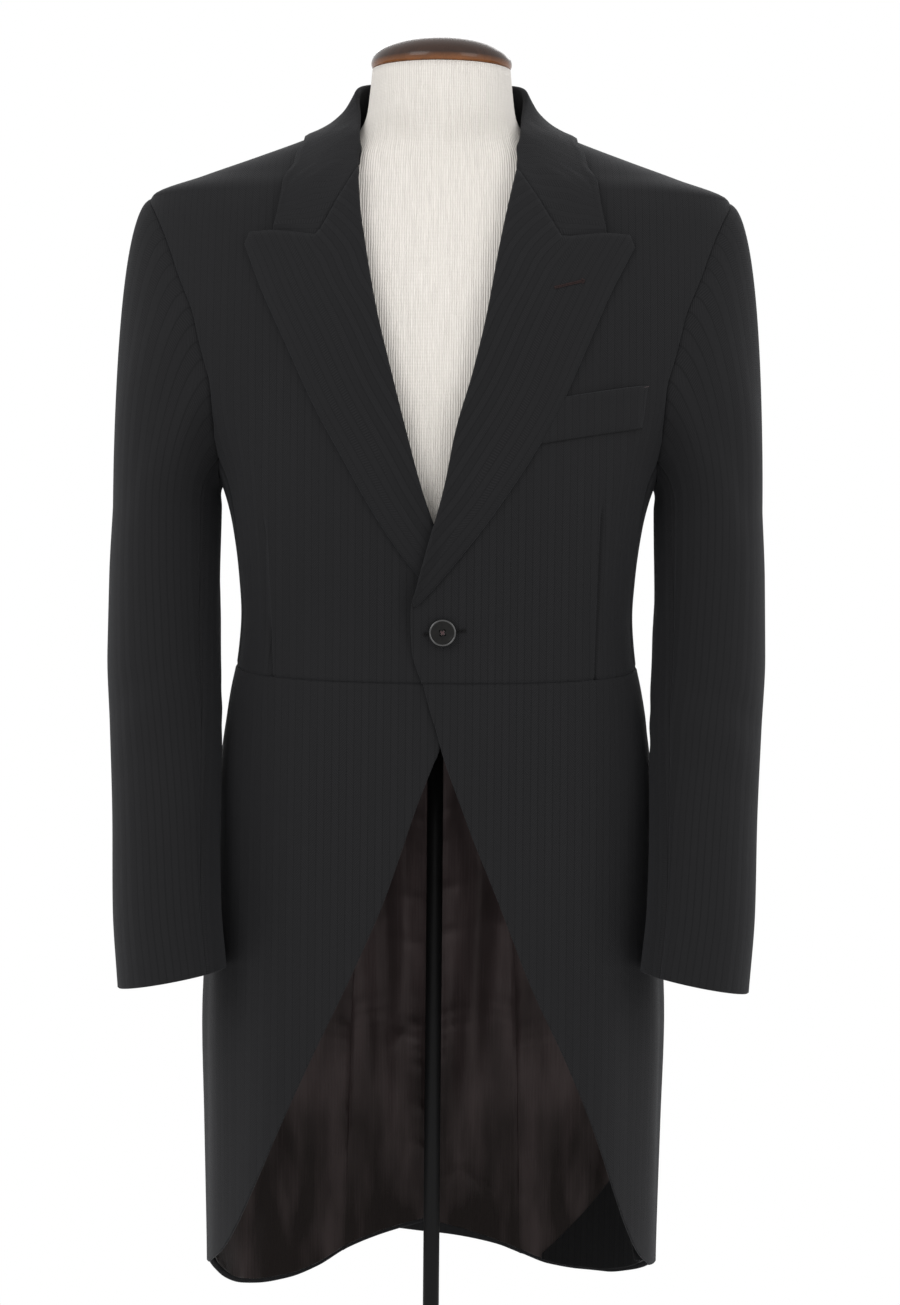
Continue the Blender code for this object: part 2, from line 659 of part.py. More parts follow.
def collar_fall():
    """The fallen collar, from one gorge around the back of the neck to the other."""
    steps = [20.5, 22.0, 25, 30, 36, 45, 56, 70, 85, 100, 120, 140, 160, 180]
    shares = LAPEL_SHARES[:GORGE_STEPS + CLOSE_STEPS + 1]
    outer, inner = [], []
    for side in (1, -1):
        order = steps if side > 0 else steps[-2::-1]
        for turn in order:
            settle = min((turn - 20.5) / 40.0, 1.0)
            lean = -side * FALL_LEAN * (1 - settle)
            row_outer, row_inner = [], []
            for j, share in enumerate(shares):
                across = j / (len(shares) - 1)
                if turn == 20.5:
                    x, z = lapel_rows(side)[0][j]
                    angle, z = angle_at(x, z + SEAM), z + SEAM
                else:
                    roll = (turn, NECK.at(turn, "roll"))
                    edge = (COLLAR.at(turn, "edge_angle"), COLLAR.at(turn, "edge_height"))
                    angle, z = (mix(a, b, across) for a, b in zip(roll, edge))
                    angle += lean * (1 - across)
                start = mix(lapel_out(share, 0.0), FALL_REST, settle)
                for row, thick in ((row_outer, CLOTH), (row_inner, 0.0)):
                    near = cloth_point(side, angle, z, start + thick)
                    far = fall_point(side, turn, across, thick)
                    row.append(near.lerp(far, settle * FALL_BRIDGE))
            outer.append(row_outer)
            inner.append(row_inner)
    return wall("collar_fall", outer, inner, "wool", WOOL)


def collar_stand():
    """The band that stands up around the neck inside the fallen collar."""
    angles = [20.5] + GORGE_ANGLES
    angles += [mix(NECK_START, SHOULDER_ANGLE, share) for share in FRONT_SHARES[::2]]
    angles += [mix(SHOULDER_ANGLE, 180.0, j / BACK_COLUMNS) for j in range(1, BACK_COLUMNS + 1)]
    outer, inner = [], []
    for side in (1, -1):
        order = angles if side > 0 else angles[-2::-1]
        for angle in order:
            low = NECK.at(angle, "seam") + 0.0009
            high = NECK.at(angle, "roll")
            heights = [low, mix(low, high, 0.5), high]
            outer.append([cloth_point(side, angle, z, 0.0) for z in heights])
            inner.append([cloth_point(side, angle, z, -CLOTH) for z in heights])
    return wall("collar_stand", outer, inner, "wool", WOOL)


def pocket_welt():
    """Breast welt on the wearer's left, running in under the lapel."""
    outer, inner = [], []
    for k in range(8):
        share = k / 7
        x, low, high = (mix(a, b, share) for a, b in zip(*WELT))
        for grid, out in ((outer, 0.0005 + WELT_THICK), (inner, 0.0005)):
            leans = [(x - 0.004 * (1 - rise) + 0.010 * rise * (1 - share), mix(low, high, rise))
                     for rise in (0, 0.5, 1)]
            grid.append([front_place(1, px, z, out) for px, z in leans])
    return wall("pocket_welt", outer, inner, "wool", WOOL)


# ---- sleeves ----------------------------------------------------------------------
def sleeve_ring_point(turn, height):
    outer, inner, middle, depth, tilt = (SLEEVE.at(height, n) for n in SLEEVE.names[1:])
    centre = (outer + inner) / 2
    x = centre - (outer - inner) / 2 * math.cos(math.radians(turn))
    y = middle - depth * math.sin(math.radians(turn))
    return Vector((x, y, height + tilt * (x - centre)))


def sleeve_point(turn, level):
    """Levels 0 to 1 run over the sleeve head; above 1 they are ring heights down the arm."""
    if level > 1:
        return sleeve_ring_point(turn, 2 - (level - 1))
    start = ring_point(BODY, ARMHOLE.at(turn, "angle"), ARMHOLE.at(turn, "height"))
    start.x += 0.0006
    end = sleeve_ring_point(turn, SLEEVE.rows[-1][0])
    spring = (1 - math.cos(math.radians(turn))) / 2
    leave = Vector((mix(0.012, SLEEVE_HEAD, spring), 0.0, -0.03 * (1 - spring)))
    arrive = Vector((0.0, 0.0, -mix(0.03, SLEEVE_DROP, spring)))
    t = level
    a = start * ((1 + 2 * t) * (1 - t) ** 2) + leave * (t * (1 - t) ** 2)
    return a + end * (t * t * (3 - 2 * t)) + arrive * (t * t * (t - 1))


SLEEVE_LEVELS = [0.0, 0.13, 0.33, 0.60, 1.0] + [3 - z for z in (1.05, 0.98, 0.91, 0.85, 0.80, 0.744)]
SEAM_TURNS = (45, 295)


def sleeve_normal(turn, level):
    if level < 1:
        above, below = max(level - 0.02, 0.0), level + 0.02
    elif level == 1:
        above, below = 0.98, 2.0
    else:
        above, below = level - 0.005, level + 0.005
    above = sleeve_point(turn, above)
    below = sleeve_point(turn, below)
    around = sleeve_point((turn + 2) % 360, level) - sleeve_point((turn - 2) % 360, level)
    return around.cross(above - below).normalized()


def sleeve(side, part):
    """Two-piece sleeve: the top sleeve outside, the under sleeve towards the body."""
    first, last = SEAM_TURNS
    if part == "top":
        turns = [t for t in TURNS if first <= t <= last]
    else:
        turns = [t for t in TURNS if t >= last] + [t for t in TURNS if t <= first]
    outer, inner = [], []
    for level in SLEEVE_LEVELS:
        row = [sleeve_point(t, level) for t in turns]
        start_pull = (row[1] - row[0]).normalized() * SEAM
        end_pull = (row[-2] - row[-1]).normalized() * SEAM
        row[0] = row[0] + start_pull
        row[-1] = row[-1] + end_pull
        depth = [p - sleeve_normal(t, level) * CLOTH for t, p in zip(turns, row)]
        outer.append([Vector((p.x * side, p.y, p.z)) for p in row])
        inner.append([Vector((p.x * side, p.y, p.z)) for p in depth])
    return wall("sleeve_%s_%s" % (part, label(side)), outer, inner, "wool", WOOL)


# ---- lining -----------------------------------------------------------------------
def skirt_lining(side):
    grid = [row[LINING_START:] for row in skirt_grid(side)[LINING_START:-1]]
    return body_wall("lining_skirt_" + label(side), side, grid, CLOTH + LINING_GAP, LINING, "satin", SATIN)


def tail_lining(side):
    grid = tail_grid(side)[LINING_START:-1]
    return body_wall("lining_back_" + label(side), side, grid, CLOTH + LINING_GAP, LINING, "satin", SATIN)


def skirt_facing():
    """Wool facing inside the wearer's left skirt: a wedge that widens to the front edge."""
    depth = CLOTH + LINING_GAP + LINING + FACING_GAP
    grid = []
    for rise in (0.0, 0.35, 0.7, 1.0):
        row = []
        for j in range(13):
            share = j / 12
            front_height = 0.515 + 0.175 * rise
            first = seam_angle(edge_angle(1, front_height), front_height, 0.003)
            angle = mix(first, 152.0, share)
            low = HEM.at(angle, "left") + 0.003
            high = 0.490 + (153.0 - angle) * 0.00262
            row.append((angle, mix(low, max(high, low + 0.004), rise)))
        grid.append(row)
    return body_wall("facing_skirt_left", 1, grid, depth, 0.0015, "wool", WOOL)


# ---- buttons, form and stand --------------------------------------------------------
def button(name, place, normal):
    radius, thick = BUTTON_RADIUS, BUTTON_THICK
    profile = [
        (radius * 0.72, 0.0), (radius * 0.93, thick * 0.25), (radius, thick * 0.55),
        (radius * 0.95, thick * 0.9), (radius * 0.86, thick), (radius * 0.72, thick * 0.72),
    ]
    made = lathe(name, profile, "horn", HORN, segments=20)
    made.location = place
    made.rotation_mode = "QUATERNION"
    made.rotation_quaternion = normal.to_track_quat("Z", "Y")
    return made


def buttons():
    angle = angle_at(BUTTON_SIDE, BUTTON_HEIGHT)
    place = cloth_point(1, angle, BUTTON_HEIGHT, 0.0014)
    button("button_front", place, ring_normal(BODY, angle, BUTTON_HEIGHT))
    for side in (1, -1):
        level = waist(166.5) + 0.006
        normal = ring_normal(BODY, 166.5, level)
        place = cloth_point(side, 166.5, level, 0.0008)
        button("button_back_" + label(side), place, Vector((normal.x * side, normal.y, normal.z)))


def dress_form():
    """Limbless torso: one closed skin of rings, with a turned cap on the neck."""
    segments = 40
    heights = [row[0] for row in FORM.rows]
    vertices = [Vector((0, 0, heights[0]))]
    for height in heights:
        vertices += [ring_point(FORM, 360 * k / segments, height) for k in range(segments)]
    vertices.append(Vector((0, 0.004, heights[-1])))
    faces = []
    for k in range(segments):
        after = (k + 1) % segments
        faces.append((0, 1 + k, 1 + after))
        top = 1 + (len(heights) - 1) * segments
        faces.append((len(vertices) - 1, top + after, top + k))
        for ring in range(len(heights) - 1):
            low = 1 + ring * segments
            faces.append((low + k, low + after, low + segments + after, low + segments + k))
    place_mesh("form_torso", vertices, faces, "linen", LINEN)
    low = NECK_TOP + 0.0003
    high = CAP_TOP
    radius = 0.0568
    profile = [
        (radius - 0.0035, low), (radius - 0.0005, low + 0.0024), (radius, low + 0.0052),
        (radius - 0.0012, low + 0.0090), (radius - 0.0048, low + 0.0134), (radius - 0.0120, low + 0.0186),
        (radius - 0.0240, high - 0.0029), (radius * 0.3, high - 0.0006), (radius * 0.1, high),
    ]
    cap = lathe("form_neck_cap", profile, "mahogany", MAHOGANY, stretch=0.93)
    cap.location = (0, 0.004, 0)
    plate = [(0.030, FORM_BOTTOM - 0.0063), (0.036, FORM_BOTTOM - 0.0043), (0.036, FORM_BOTTOM - 0.0003)]
    lathe("form_base_plate", plate, "steel", STEEL)


def stand():
    """Slim steel rod on a heavy round base that rests on the floor."""
    rod_bottom = BASE_THICK + 0.0303
    rod = [(POLE_RADIUS, rod_bottom), (POLE_RADIUS, FORM_BOTTOM - 0.0066)]
    lathe("stand_pole", rod, "steel", STEEL, segments=24)
    socket = [(0.020, BASE_THICK + 0.0003), (0.020, BASE_THICK + 0.006), (0.012, BASE_THICK + 0.016),
              (0.0105, BASE_THICK + 0.030)]
    lathe("stand_socket", socket, "steel", STEEL, segments=32)
    disc = [(BASE_RADIUS - 0.003, 0.0), (BASE_RADIUS, 0.003), (BASE_RADIUS, BASE_THICK - 0.004),
            (BASE_RADIUS - 0.004, BASE_THICK)]
    lathe("stand_base", disc, "steel", STEEL, segments=64)


for old in list(bpy.data.objects):
    bpy.data.objects.remove(old)
for hand in (1, -1):
    front(hand)
    side_body(hand)
    back(hand)
    skirt(hand)
    lapel(hand)
    sleeve(hand, "top")
    sleeve(hand, "under")
    skirt_lining(hand)
    tail_lining(hand)
collar_fall()
collar_stand()
pocket_welt()
skirt_facing()
buttons()
dress_form()
stand()
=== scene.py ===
"""Morning coat on its dress form: the looks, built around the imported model."""
import math

import bmesh
import bpy
import numpy as np
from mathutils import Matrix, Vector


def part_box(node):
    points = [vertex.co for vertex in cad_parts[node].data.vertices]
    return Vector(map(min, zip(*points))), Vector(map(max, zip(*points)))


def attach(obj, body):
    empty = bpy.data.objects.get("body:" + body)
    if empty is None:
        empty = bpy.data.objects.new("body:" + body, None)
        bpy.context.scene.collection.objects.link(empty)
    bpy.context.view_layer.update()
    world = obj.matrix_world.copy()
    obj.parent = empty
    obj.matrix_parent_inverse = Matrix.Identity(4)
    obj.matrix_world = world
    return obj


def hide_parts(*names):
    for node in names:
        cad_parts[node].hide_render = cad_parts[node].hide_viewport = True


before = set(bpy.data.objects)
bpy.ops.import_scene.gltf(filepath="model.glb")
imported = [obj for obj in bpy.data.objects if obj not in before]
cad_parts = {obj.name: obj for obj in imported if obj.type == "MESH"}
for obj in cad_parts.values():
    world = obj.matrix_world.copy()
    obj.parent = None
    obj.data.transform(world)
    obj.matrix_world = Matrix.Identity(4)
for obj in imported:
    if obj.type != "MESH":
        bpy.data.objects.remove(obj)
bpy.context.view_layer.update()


# ---- Round base ----------------------------------------------------------------------------------
# The weight that keeps the form upright: a steel disc with a rounded rim, painted
# satin black. It rests on the floor by its flat underside.
class Wire:
    """A socket in a finish. Sums and products on it add their own Math nodes."""

    def __init__(self, finish, socket):
        self.finish = finish
        self.socket = socket

    def math(self, operation, *others):
        return self.finish.node("ShaderNodeMath", {"operation": operation}, self, *others)

    def __add__(self, other):
        return self.math("ADD", other)

    def __mul__(self, other):
        return self.math("MULTIPLY", other)

    def __sub__(self, other):
        return self.math("SUBTRACT", other)

    def __truediv__(self, other):
        return self.math("DIVIDE", other)

    def __rsub__(self, other):
        return self.finish.node("ShaderNodeMath", {"operation": "SUBTRACT"}, other, self)

    __radd__ = __add__
    __rmul__ = __mul__


class Finish:
    """A material in the making, with its Principled shader."""

    def __init__(self, name, **fixed):
        self.material = bpy.data.materials.new(name)
        self.material.use_nodes = True
        self.tree = self.material.node_tree
        self.shader = self.tree.nodes["Principled BSDF"]
        self.feed(**fixed)

    def put(self, socket, value):
        if isinstance(value, Wire):
            self.tree.links.new(value.socket, socket)
        else:
            socket.default_value = value

    def feed(self, **values):
        for name, value in values.items():
            self.put(self.shader.inputs[name.replace("_", " ")], value)

    def node(self, kind, settings, *values, out=0, **named):
        made = self.tree.nodes.new(kind)
        for key, value in settings.items():
            setattr(made, key, value)
        for socket, value in zip(made.inputs, values):
            self.put(socket, value)
        for name, value in named.items():
            self.put(made.inputs[name.replace("_", " ")], value)
        return Wire(self, made.outputs[out])

    def place(self, source="Object", stretch=(1, 1, 1)):
        where = self.node("ShaderNodeTexCoord", {}, out={"UV": 2, "Object": 3}[source])
        return self.node("ShaderNodeVectorMath", {"operation": "MULTIPLY"}, where, stretch)

    def noise(self, scale, detail=2.0, source="Object", stretch=(1, 1, 1), rough=0.5):
        where = self.place(source, stretch)
        return self.node("ShaderNodeTexNoise", {}, Vector=where, Scale=scale, Detail=detail, Roughness=rough)

    def across_and_along(self):
        where = self.node("ShaderNodeTexCoord", {}, out=2)
        across = self.node("ShaderNodeSeparateXYZ", {}, where)
        along = Wire(self, across.socket.node.outputs[1])
        return across, along

    def blend(self, share, first, second):
        made = self.node("ShaderNodeMix", {"data_type": "RGBA"}, share, out=2)
        for socket, value in zip((6, 7), (first, second)):
            self.put(made.socket.node.inputs[socket], value)
        return made

    def bump(self, height, distance):
        self.feed(Normal=self.node("ShaderNodeBump", {}, Strength=1.0, Distance=distance, Height=height))


def mesh_piece(name, points, faces, finish, uv=None):
    """A piece from points and faces, faces turned outwards, with an optional UV for each point."""
    mesh = bpy.data.meshes.new(name)
    mesh.from_pydata(np.asarray(points, float).tolist(), [], faces)
    if uv is not None:
        layer = mesh.uv_layers.new(name="cloth")
        corners = np.empty(len(mesh.loops), int)
        mesh.loops.foreach_get("vertex_index", corners)
        layer.data.foreach_set("uv", np.asarray(uv, float)[corners].ravel())
    shape = bmesh.new()
    shape.from_mesh(mesh)
    bmesh.ops.recalc_face_normals(shape, faces=shape.faces)
    if shape.calc_volume(signed=True) < 0:
        bmesh.ops.reverse_faces(shape, faces=shape.faces)
    shape.to_mesh(mesh)
    shape.free()
    mesh.shade_smooth()
    mesh.materials.append(finish.material)
    piece = bpy.data.objects.new(name, mesh)
    bpy.context.scene.collection.objects.link(piece)
    return piece


def belongs(piece, slot, *nodes):
    """The piece is part of the one rigid body and stands for its CAD nodes."""
    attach(piece, "root")
    if nodes:
        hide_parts(*nodes)
    return piece


def turned(name, profile, finish, segments=96, depth=1.0, centre=(0.0, 0.0)):
    """A turned solid, closed at both ends, from radius and height down its profile."""
    turns = np.arange(segments) * 2 * math.pi / segments
    points = [(centre[0], centre[1], profile[0][1])]
    for radius, height in profile:
        x = centre[0] + radius * np.cos(turns)
        y = centre[1] + radius * depth * np.sin(turns)
        points += list(zip(x, y, np.full(segments, height)))
    points.append((centre[0], centre[1], profile[-1][1]))
    faces = []
    last = 1 + (len(profile) - 1) * segments
    for k in range(segments):
        after = (k + 1) % segments
        faces.append((0, 1 + after, 1 + k))
        faces.append((last + segments, last + k, last + after))
        for low in range(1, last, segments):
            faces.append((low + k, low + after, low + segments + after, low + segments + k))
    return mesh_piece(name, points, faces, finish)


def rounded(radius, height, bend, inward):
    """Profile points of a quarter-round edge that ends at radius and height."""
    bends = [(math.cos(t) - 1, math.sin(t) - 1) for t in np.linspace(0, math.pi / 2, 8)]
    return [(radius + bend * across, height + inward * bend * up) for across, up in bends]


paint = Finish("satin_black_paint", Specular_IOR_Level=0.10, Coat_Weight=0.02, Coat_Roughness=0.3)
speckle = paint.noise(900, 2)
wear = paint.noise(14, 4)
paint.feed(Base_Color=paint.blend(wear, (0.0028, 0.0028, 0.0030, 1), (0.0060, 0.0060, 0.0062, 1)))
paint.feed(Roughness=wear * 0.18 + 0.42)
paint.bump(speckle, 0.00006)

BASE_FOOT_BEND = 0.0025
BASE_RIM_BEND = 0.005
base_radius, _, base_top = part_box("stand_base")[1]
disc = rounded(base_radius, BASE_FOOT_BEND, BASE_FOOT_BEND, -1)[::-1]
disc += rounded(base_radius, base_top, BASE_RIM_BEND, 1)
disc += [(base_radius * share, base_top) for share in (0.9, 0.6, 0.2)]
disc[0:0] = [(base_radius * share, 0.0) for share in (0.3, 0.8)]
belongs(turned("round_base", disc, paint, 160), "steel", "stand_base")


# ---- Socket and rod ------------------------------------------------------------------------------
# A turned collar bolted to the base takes the rod, which is a steel tube painted like
# the base. The rod runs up to a plate screwed to the underside of the form.
socket_low, socket_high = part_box("stand_socket")
rod_low, rod_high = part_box("stand_pole")
collar_radius = socket_high[0]
collar = rounded(collar_radius, socket_low[2] + 0.006, 0.002, 1)
collar += [(0.0155, socket_low[2] + 0.0085), (0.0128, socket_low[2] + 0.014)]
collar += [(0.0115, socket_high[2] - 0.006)]
collar += rounded(0.0108, socket_high[2], 0.0015, 1)
collar[0:0] = [(collar_radius - 0.001, socket_low[2]), (collar_radius, socket_low[2] + 0.001)]
belongs(turned("rod_socket", collar, paint, 64), "steel", "stand_socket")
rod_radius = rod_high[0]
rod = [(rod_radius, rod_low[2] - 0.0003)]      # its foot is let into the socket
rod += [(rod_radius, height) for height in np.linspace(rod_low[2], rod_high[2], 12)]
belongs(turned("stand_rod", rod, paint, 40), "steel", "stand_pole")

plate_low, plate_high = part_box("form_base_plate")
plate_radius = plate_high[0]
plate = [(0.029, plate_low[2]), (0.031, plate_low[2] + 0.0004)]
plate += [(plate_radius - 0.0012, plate_low[2] + 0.002), (plate_radius, plate_low[2] + 0.0032)]
plate += [(plate_radius, plate_high[2])]
belongs(turned("form_plate", plate, paint, 64), "steel", "form_base_plate")

SCREWS = 4
SCREW_CIRCLE = 0.0155
SCREW_RADIUS = 0.0024
for k in range(SCREWS):
    turn = (k + 0.5) * 2 * math.pi / SCREWS
    spot = (SCREW_CIRCLE * math.cos(turn), SCREW_CIRCLE * math.sin(turn))
    head = rounded(SCREW_RADIUS, socket_low[2] + 0.0074, SCREW_RADIUS / 2, 1)
    head[0:0] = [(SCREW_RADIUS, socket_low[2] + 0.004)]
    belongs(turned("socket_screw_%d" % (k + 1), head, paint, 20, centre=spot), "steel")


# ---- Dress form ----------------------------------------------------------------------------------
# A limbless torso: a shaped shell padded with wadding and covered with linen, cut in
# long panels that are sewn together down the middle, the sides and over the bust.
def read(keys, values, wanted):
    """Values at the wanted keys: smooth between the given ones, and never past them."""
    keys = np.asarray(keys, float)
    values = np.asarray(values, float)
    spare = (1,) * (values.ndim - 1)
    rates = np.diff(values, axis=0) / np.diff(keys).reshape((-1,) + spare)
    product = rates[:-1] * rates[1:]
    total = rates[:-1] + rates[1:]
    ease = np.where(product > 0, 2 * product / np.where(product > 0, total, 1), 0)
    slopes = np.concatenate([rates[:1], ease, rates[-1:]])
    i = np.clip(np.searchsorted(keys, wanted, side="right") - 1, 0, len(keys) - 2)
    gap = (keys[i + 1] - keys[i]).reshape(np.shape(wanted) + spare)
    t = (np.asarray(wanted) - keys[i]).reshape(np.shape(wanted) + spare) / gap
    start = (1 + 2 * t) * (1 - t) ** 2 * values[i] + t * (1 - t) ** 2 * gap * slopes[i]
    return start + t * t * (3 - 2 * t) * values[i + 1] + t * t * (t - 1) * gap * slopes[i + 1]


class Table:
    """Rows of sizes under named columns."""

    def __init__(self, names, rows):
        self.names = names.split()
        self.columns = np.array(rows, float).T

    def at(self, key, name):
        return read(self.columns[0], self.columns[self.names.index(name)], key)


def swell(distance, width):
    """A soft bump: 1 in its middle, and next to nothing at twice its width."""
    return np.exp(-(distance / width) ** 2)


def unit(vectors):
    return vectors / np.maximum(np.linalg.norm(vectors, axis=-1, keepdims=True), 1e-9)


def ring_point(table, degrees, height):
    """Points of a stack of rounded rings, by angle from centre front and by height."""
    degrees, height = np.broadcast_arrays(np.asarray(degrees, float), np.asarray(height, float))
    half, front, back, side, square = (table.at(height, name) for name in table.names[1:])
    sine = np.sin(np.radians(degrees))
    cosine = np.cos(np.radians(degrees))
    reach = np.where(cosine >= 0, side - front, back - side)
    x = half * np.sign(sine) * np.abs(sine) ** (2 / square)
    y = side - reach * np.sign(cosine) * np.abs(cosine) ** (2 / square)
    return np.stack([x, y, height], axis=-1)


def ring_normal(table, degrees, height):
    degrees = np.asarray(degrees, float)
    height = np.asarray(height, float)
    across = ring_point(table, degrees + 0.5, height) - ring_point(table, degrees - 0.5, height)
    upward = ring_point(table, degrees, height + 0.002) - ring_point(table, degrees, height - 0.002)
    return unit(np.cross(across, upward))


FORM = Table("height half_width front back side square", [
    (0.945, 0.146, -0.103, 0.088, 0.010, 2.4),
    (0.970, 0.148, -0.105, 0.086, 0.012, 2.4),
    (1.000, 0.146, -0.107, 0.083, 0.012, 2.4),
    (1.030, 0.145, -0.110, 0.084, 0.012, 2.4),
    (1.060, 0.147, -0.114, 0.089, 0.013, 2.4),
    (1.100, 0.153, -0.120, 0.098, 0.015, 2.4),
    (1.130, 0.161, -0.123, 0.104, 0.016, 2.3),
    (1.150, 0.168, -0.124, 0.106, 0.016, 2.2),
    (1.200, 0.182, -0.122, 0.110, 0.016, 2.1),
    (1.260, 0.196, -0.109, 0.110, 0.016, 2.0),
    (1.300, 0.202, -0.095, 0.107, 0.015, 2.0),
    (1.340, 0.204, -0.075, 0.100, 0.014, 2.0),
    (1.362, 0.199, -0.060, 0.094, 0.014, 1.9),
    (1.378, 0.180, -0.049, 0.088, 0.016, 1.8),
    (1.394, 0.134, -0.043, 0.080, 0.016, 1.6),
    (1.408, 0.090, -0.042, 0.070, 0.017, 1.5),
    (1.421, 0.0665, -0.044, 0.063, 0.012, 1.8),
    (1.434, 0.0600, -0.046, 0.058, 0.007, 2.0),
    (1.450, 0.0578, -0.047, 0.056, 0.005, 2.0),
    (1.4700, 0.0558, -0.047, 0.055, 0.004, 2.0),
])
FORM_SEAMS = (-90.0, 90.0)
SEAM_DIP = 0.0005
SEAM_TURN = 0.35        # width of a seam, in degrees round the form
NECKBAND = 1.420        # height of the seam between neck and shoulders
FORM_STEP = 0.0045

linen = Finish("linen_cover", Roughness=0.92, Sheen_Weight=0.15, Sheen_Roughness=0.6)
across, along = linen.across_and_along()
slub = linen.noise(1.0, 3, "UV", (900, 30, 1))
cross_slub = linen.noise(1.0, 3, "UV", (40, 1300, 1))
wander = linen.noise(1.0, 2, "UV", (300, 60, 1))
cord = ((across * (2 * math.pi / 0.0019)) + wander * 5.0).math("SINE")
pick = ((along * (2 * math.pi / 0.0011)) + wander * 2.0).math("SINE")
worn = cord * 0.18 + slub * 0.38 + cross_slub * 0.28 + 0.17
cream = linen.blend(worn, (0.50, 0.465, 0.42, 1), (0.82, 0.785, 0.745, 1))
linen.feed(Base_Color=linen.blend(linen.noise(9, 3) * 0.3, cream, (0.71, 0.67, 0.60, 1)))
linen.bump(cord * 0.6 + pick * 0.25 + slub * 1.2, 0.00035)

seam_turns = [seam + step * SEAM_TURN for seam in FORM_SEAMS for step in (-2, -1, 0, 1, 2)]
form_turns = np.unique(np.round(np.concatenate([np.arange(-180, 180, 2.0), seam_turns]), 3))
form_foot, form_crown = FORM.columns[0][[0, -1]]
form_levels = np.arange(form_foot, form_crown + 0.0001, FORM_STEP)
form_levels[-1] = form_crown
turn_grid, level_grid = np.meshgrid(form_turns, form_levels)
near_seam = np.min([np.abs((turn_grid - seam + 180) % 360 - 180) for seam in FORM_SEAMS], axis=0)
dip = SEAM_DIP * swell(near_seam, SEAM_TURN) * (level_grid < NECKBAND - 0.01)
dip = dip + 0.6 * SEAM_DIP * swell(level_grid - NECKBAND, 0.0018)
skin = ring_point(FORM, turn_grid, level_grid)
skin = skin - ring_normal(FORM, turn_grid, level_grid) * dip[..., None]
rows, columns = turn_grid.shape
underside = skin[0] * (0.55, 0.55, 1)
middles = [[[0, 0, form_foot]], [[0, 0.004, form_crown]]]
points = np.concatenate([middles[0], underside, skin.reshape(-1, 3), middles[1]])
gaps = np.linalg.norm(np.diff(skin, axis=1), axis=2)
around = np.concatenate([np.zeros((rows, 1)), np.cumsum(gaps, axis=1)], axis=1)
around = around - around[:, columns // 2, None]
flat = np.stack([around, level_grid], axis=2).reshape(-1, 2)
flat = np.concatenate([[[0, 0]], flat[:columns] - (0, 0.05), flat, [[0, 1.5]]])
faces = []
for k in range(columns):
    after = (k + 1) % columns
    faces.append((0, 1 + k, 1 + after))
    top = 1 + rows * columns
    faces.append((len(points) - 1, top + after, top + k))
    for low in range(1, top, columns):
        faces.append((low + k, low + after, low + columns + after, low + columns + k))
torso = mesh_piece("form_cover", points, faces, linen, flat)
# The linen's pattern ends at the middle of the back, so the last faces get their own edge.
for face in torso.data.polygons:
    corners = [torso.data.uv_layers[0].data[corner] for corner in face.loop_indices]
    right = max(corner.uv[0] for corner in corners)
    for corner in corners:
        if len(corners) == 4 and right - corner.uv[0] > 0.1:
            corner.uv[0] = right + 0.002
belongs(torso, "linen", "form_torso")


# ---- Neck cap ------------------------------------------------------------------------------------
# A turned mahogany dome closes the neck, widest just above its lower edge. It is stained
# dark brown and varnished, with the stain rubbed thin and scuffed along that edge.
mahogany = Finish("mahogany_varnish", Coat_Weight=0.22, Coat_Roughness=0.10, Specular_IOR_Level=0.2)
grain = mahogany.noise(1.0, 5, stretch=(26, 260, 40), rough=0.6)
scuff = mahogany.noise(60, 5, rough=0.7)
wood = mahogany.blend(grain, (0.012, 0.0065, 0.0045, 1), (0.046, 0.021, 0.013, 1))
cap_low, cap_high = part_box("form_neck_cap")
spot = mahogany.node("ShaderNodeTexCoord", {}, out=3)
rise = mahogany.node("ShaderNodeSeparateXYZ", {}, spot, out=2)
rubbed = mahogany.node("ShaderNodeMapRange", {}, rise, cap_low[2] + 0.0012, cap_low[2] + 0.0062, 1.0, 0.0)
mahogany.feed(Base_Color=mahogany.blend(rubbed * (scuff * 0.9 + 0.30), wood, (0.22, 0.080, 0.024, 1)))
mahogany.feed(Roughness=scuff * 0.2 + 0.18)
mahogany.bump(grain * 0.5 + scuff, 0.00010)

cap_radius = cap_high[0]
cap_depth = (cap_high[1] - cap_low[1]) / (cap_high[0] - cap_low[0])
dome = [(0.0036, 0.0), (0.0017, 0.0005), (0.0007, 0.0015), (0.0001, 0.0033), (0.0, 0.0052), (0.0005, 0.0072)]
dome += [(0.0017, 0.0100), (0.0040, 0.0128), (0.0076, 0.0159), (0.0124, 0.0186), (0.0182, 0.0209)]
dome += [(0.0248, 0.0229), (0.0322, 0.0244), (0.0410, 0.0254), (0.0510, 0.0257)]
cap = [(cap_radius - inset, cap_low[2] + rise_of_cap) for inset, rise_of_cap in dome]
belongs(turned("neck_cap", cap, mahogany, 128, cap_depth, (0.0, (cap_low[1] + cap_high[1]) / 2)), "mahogany",
        "form_neck_cap")


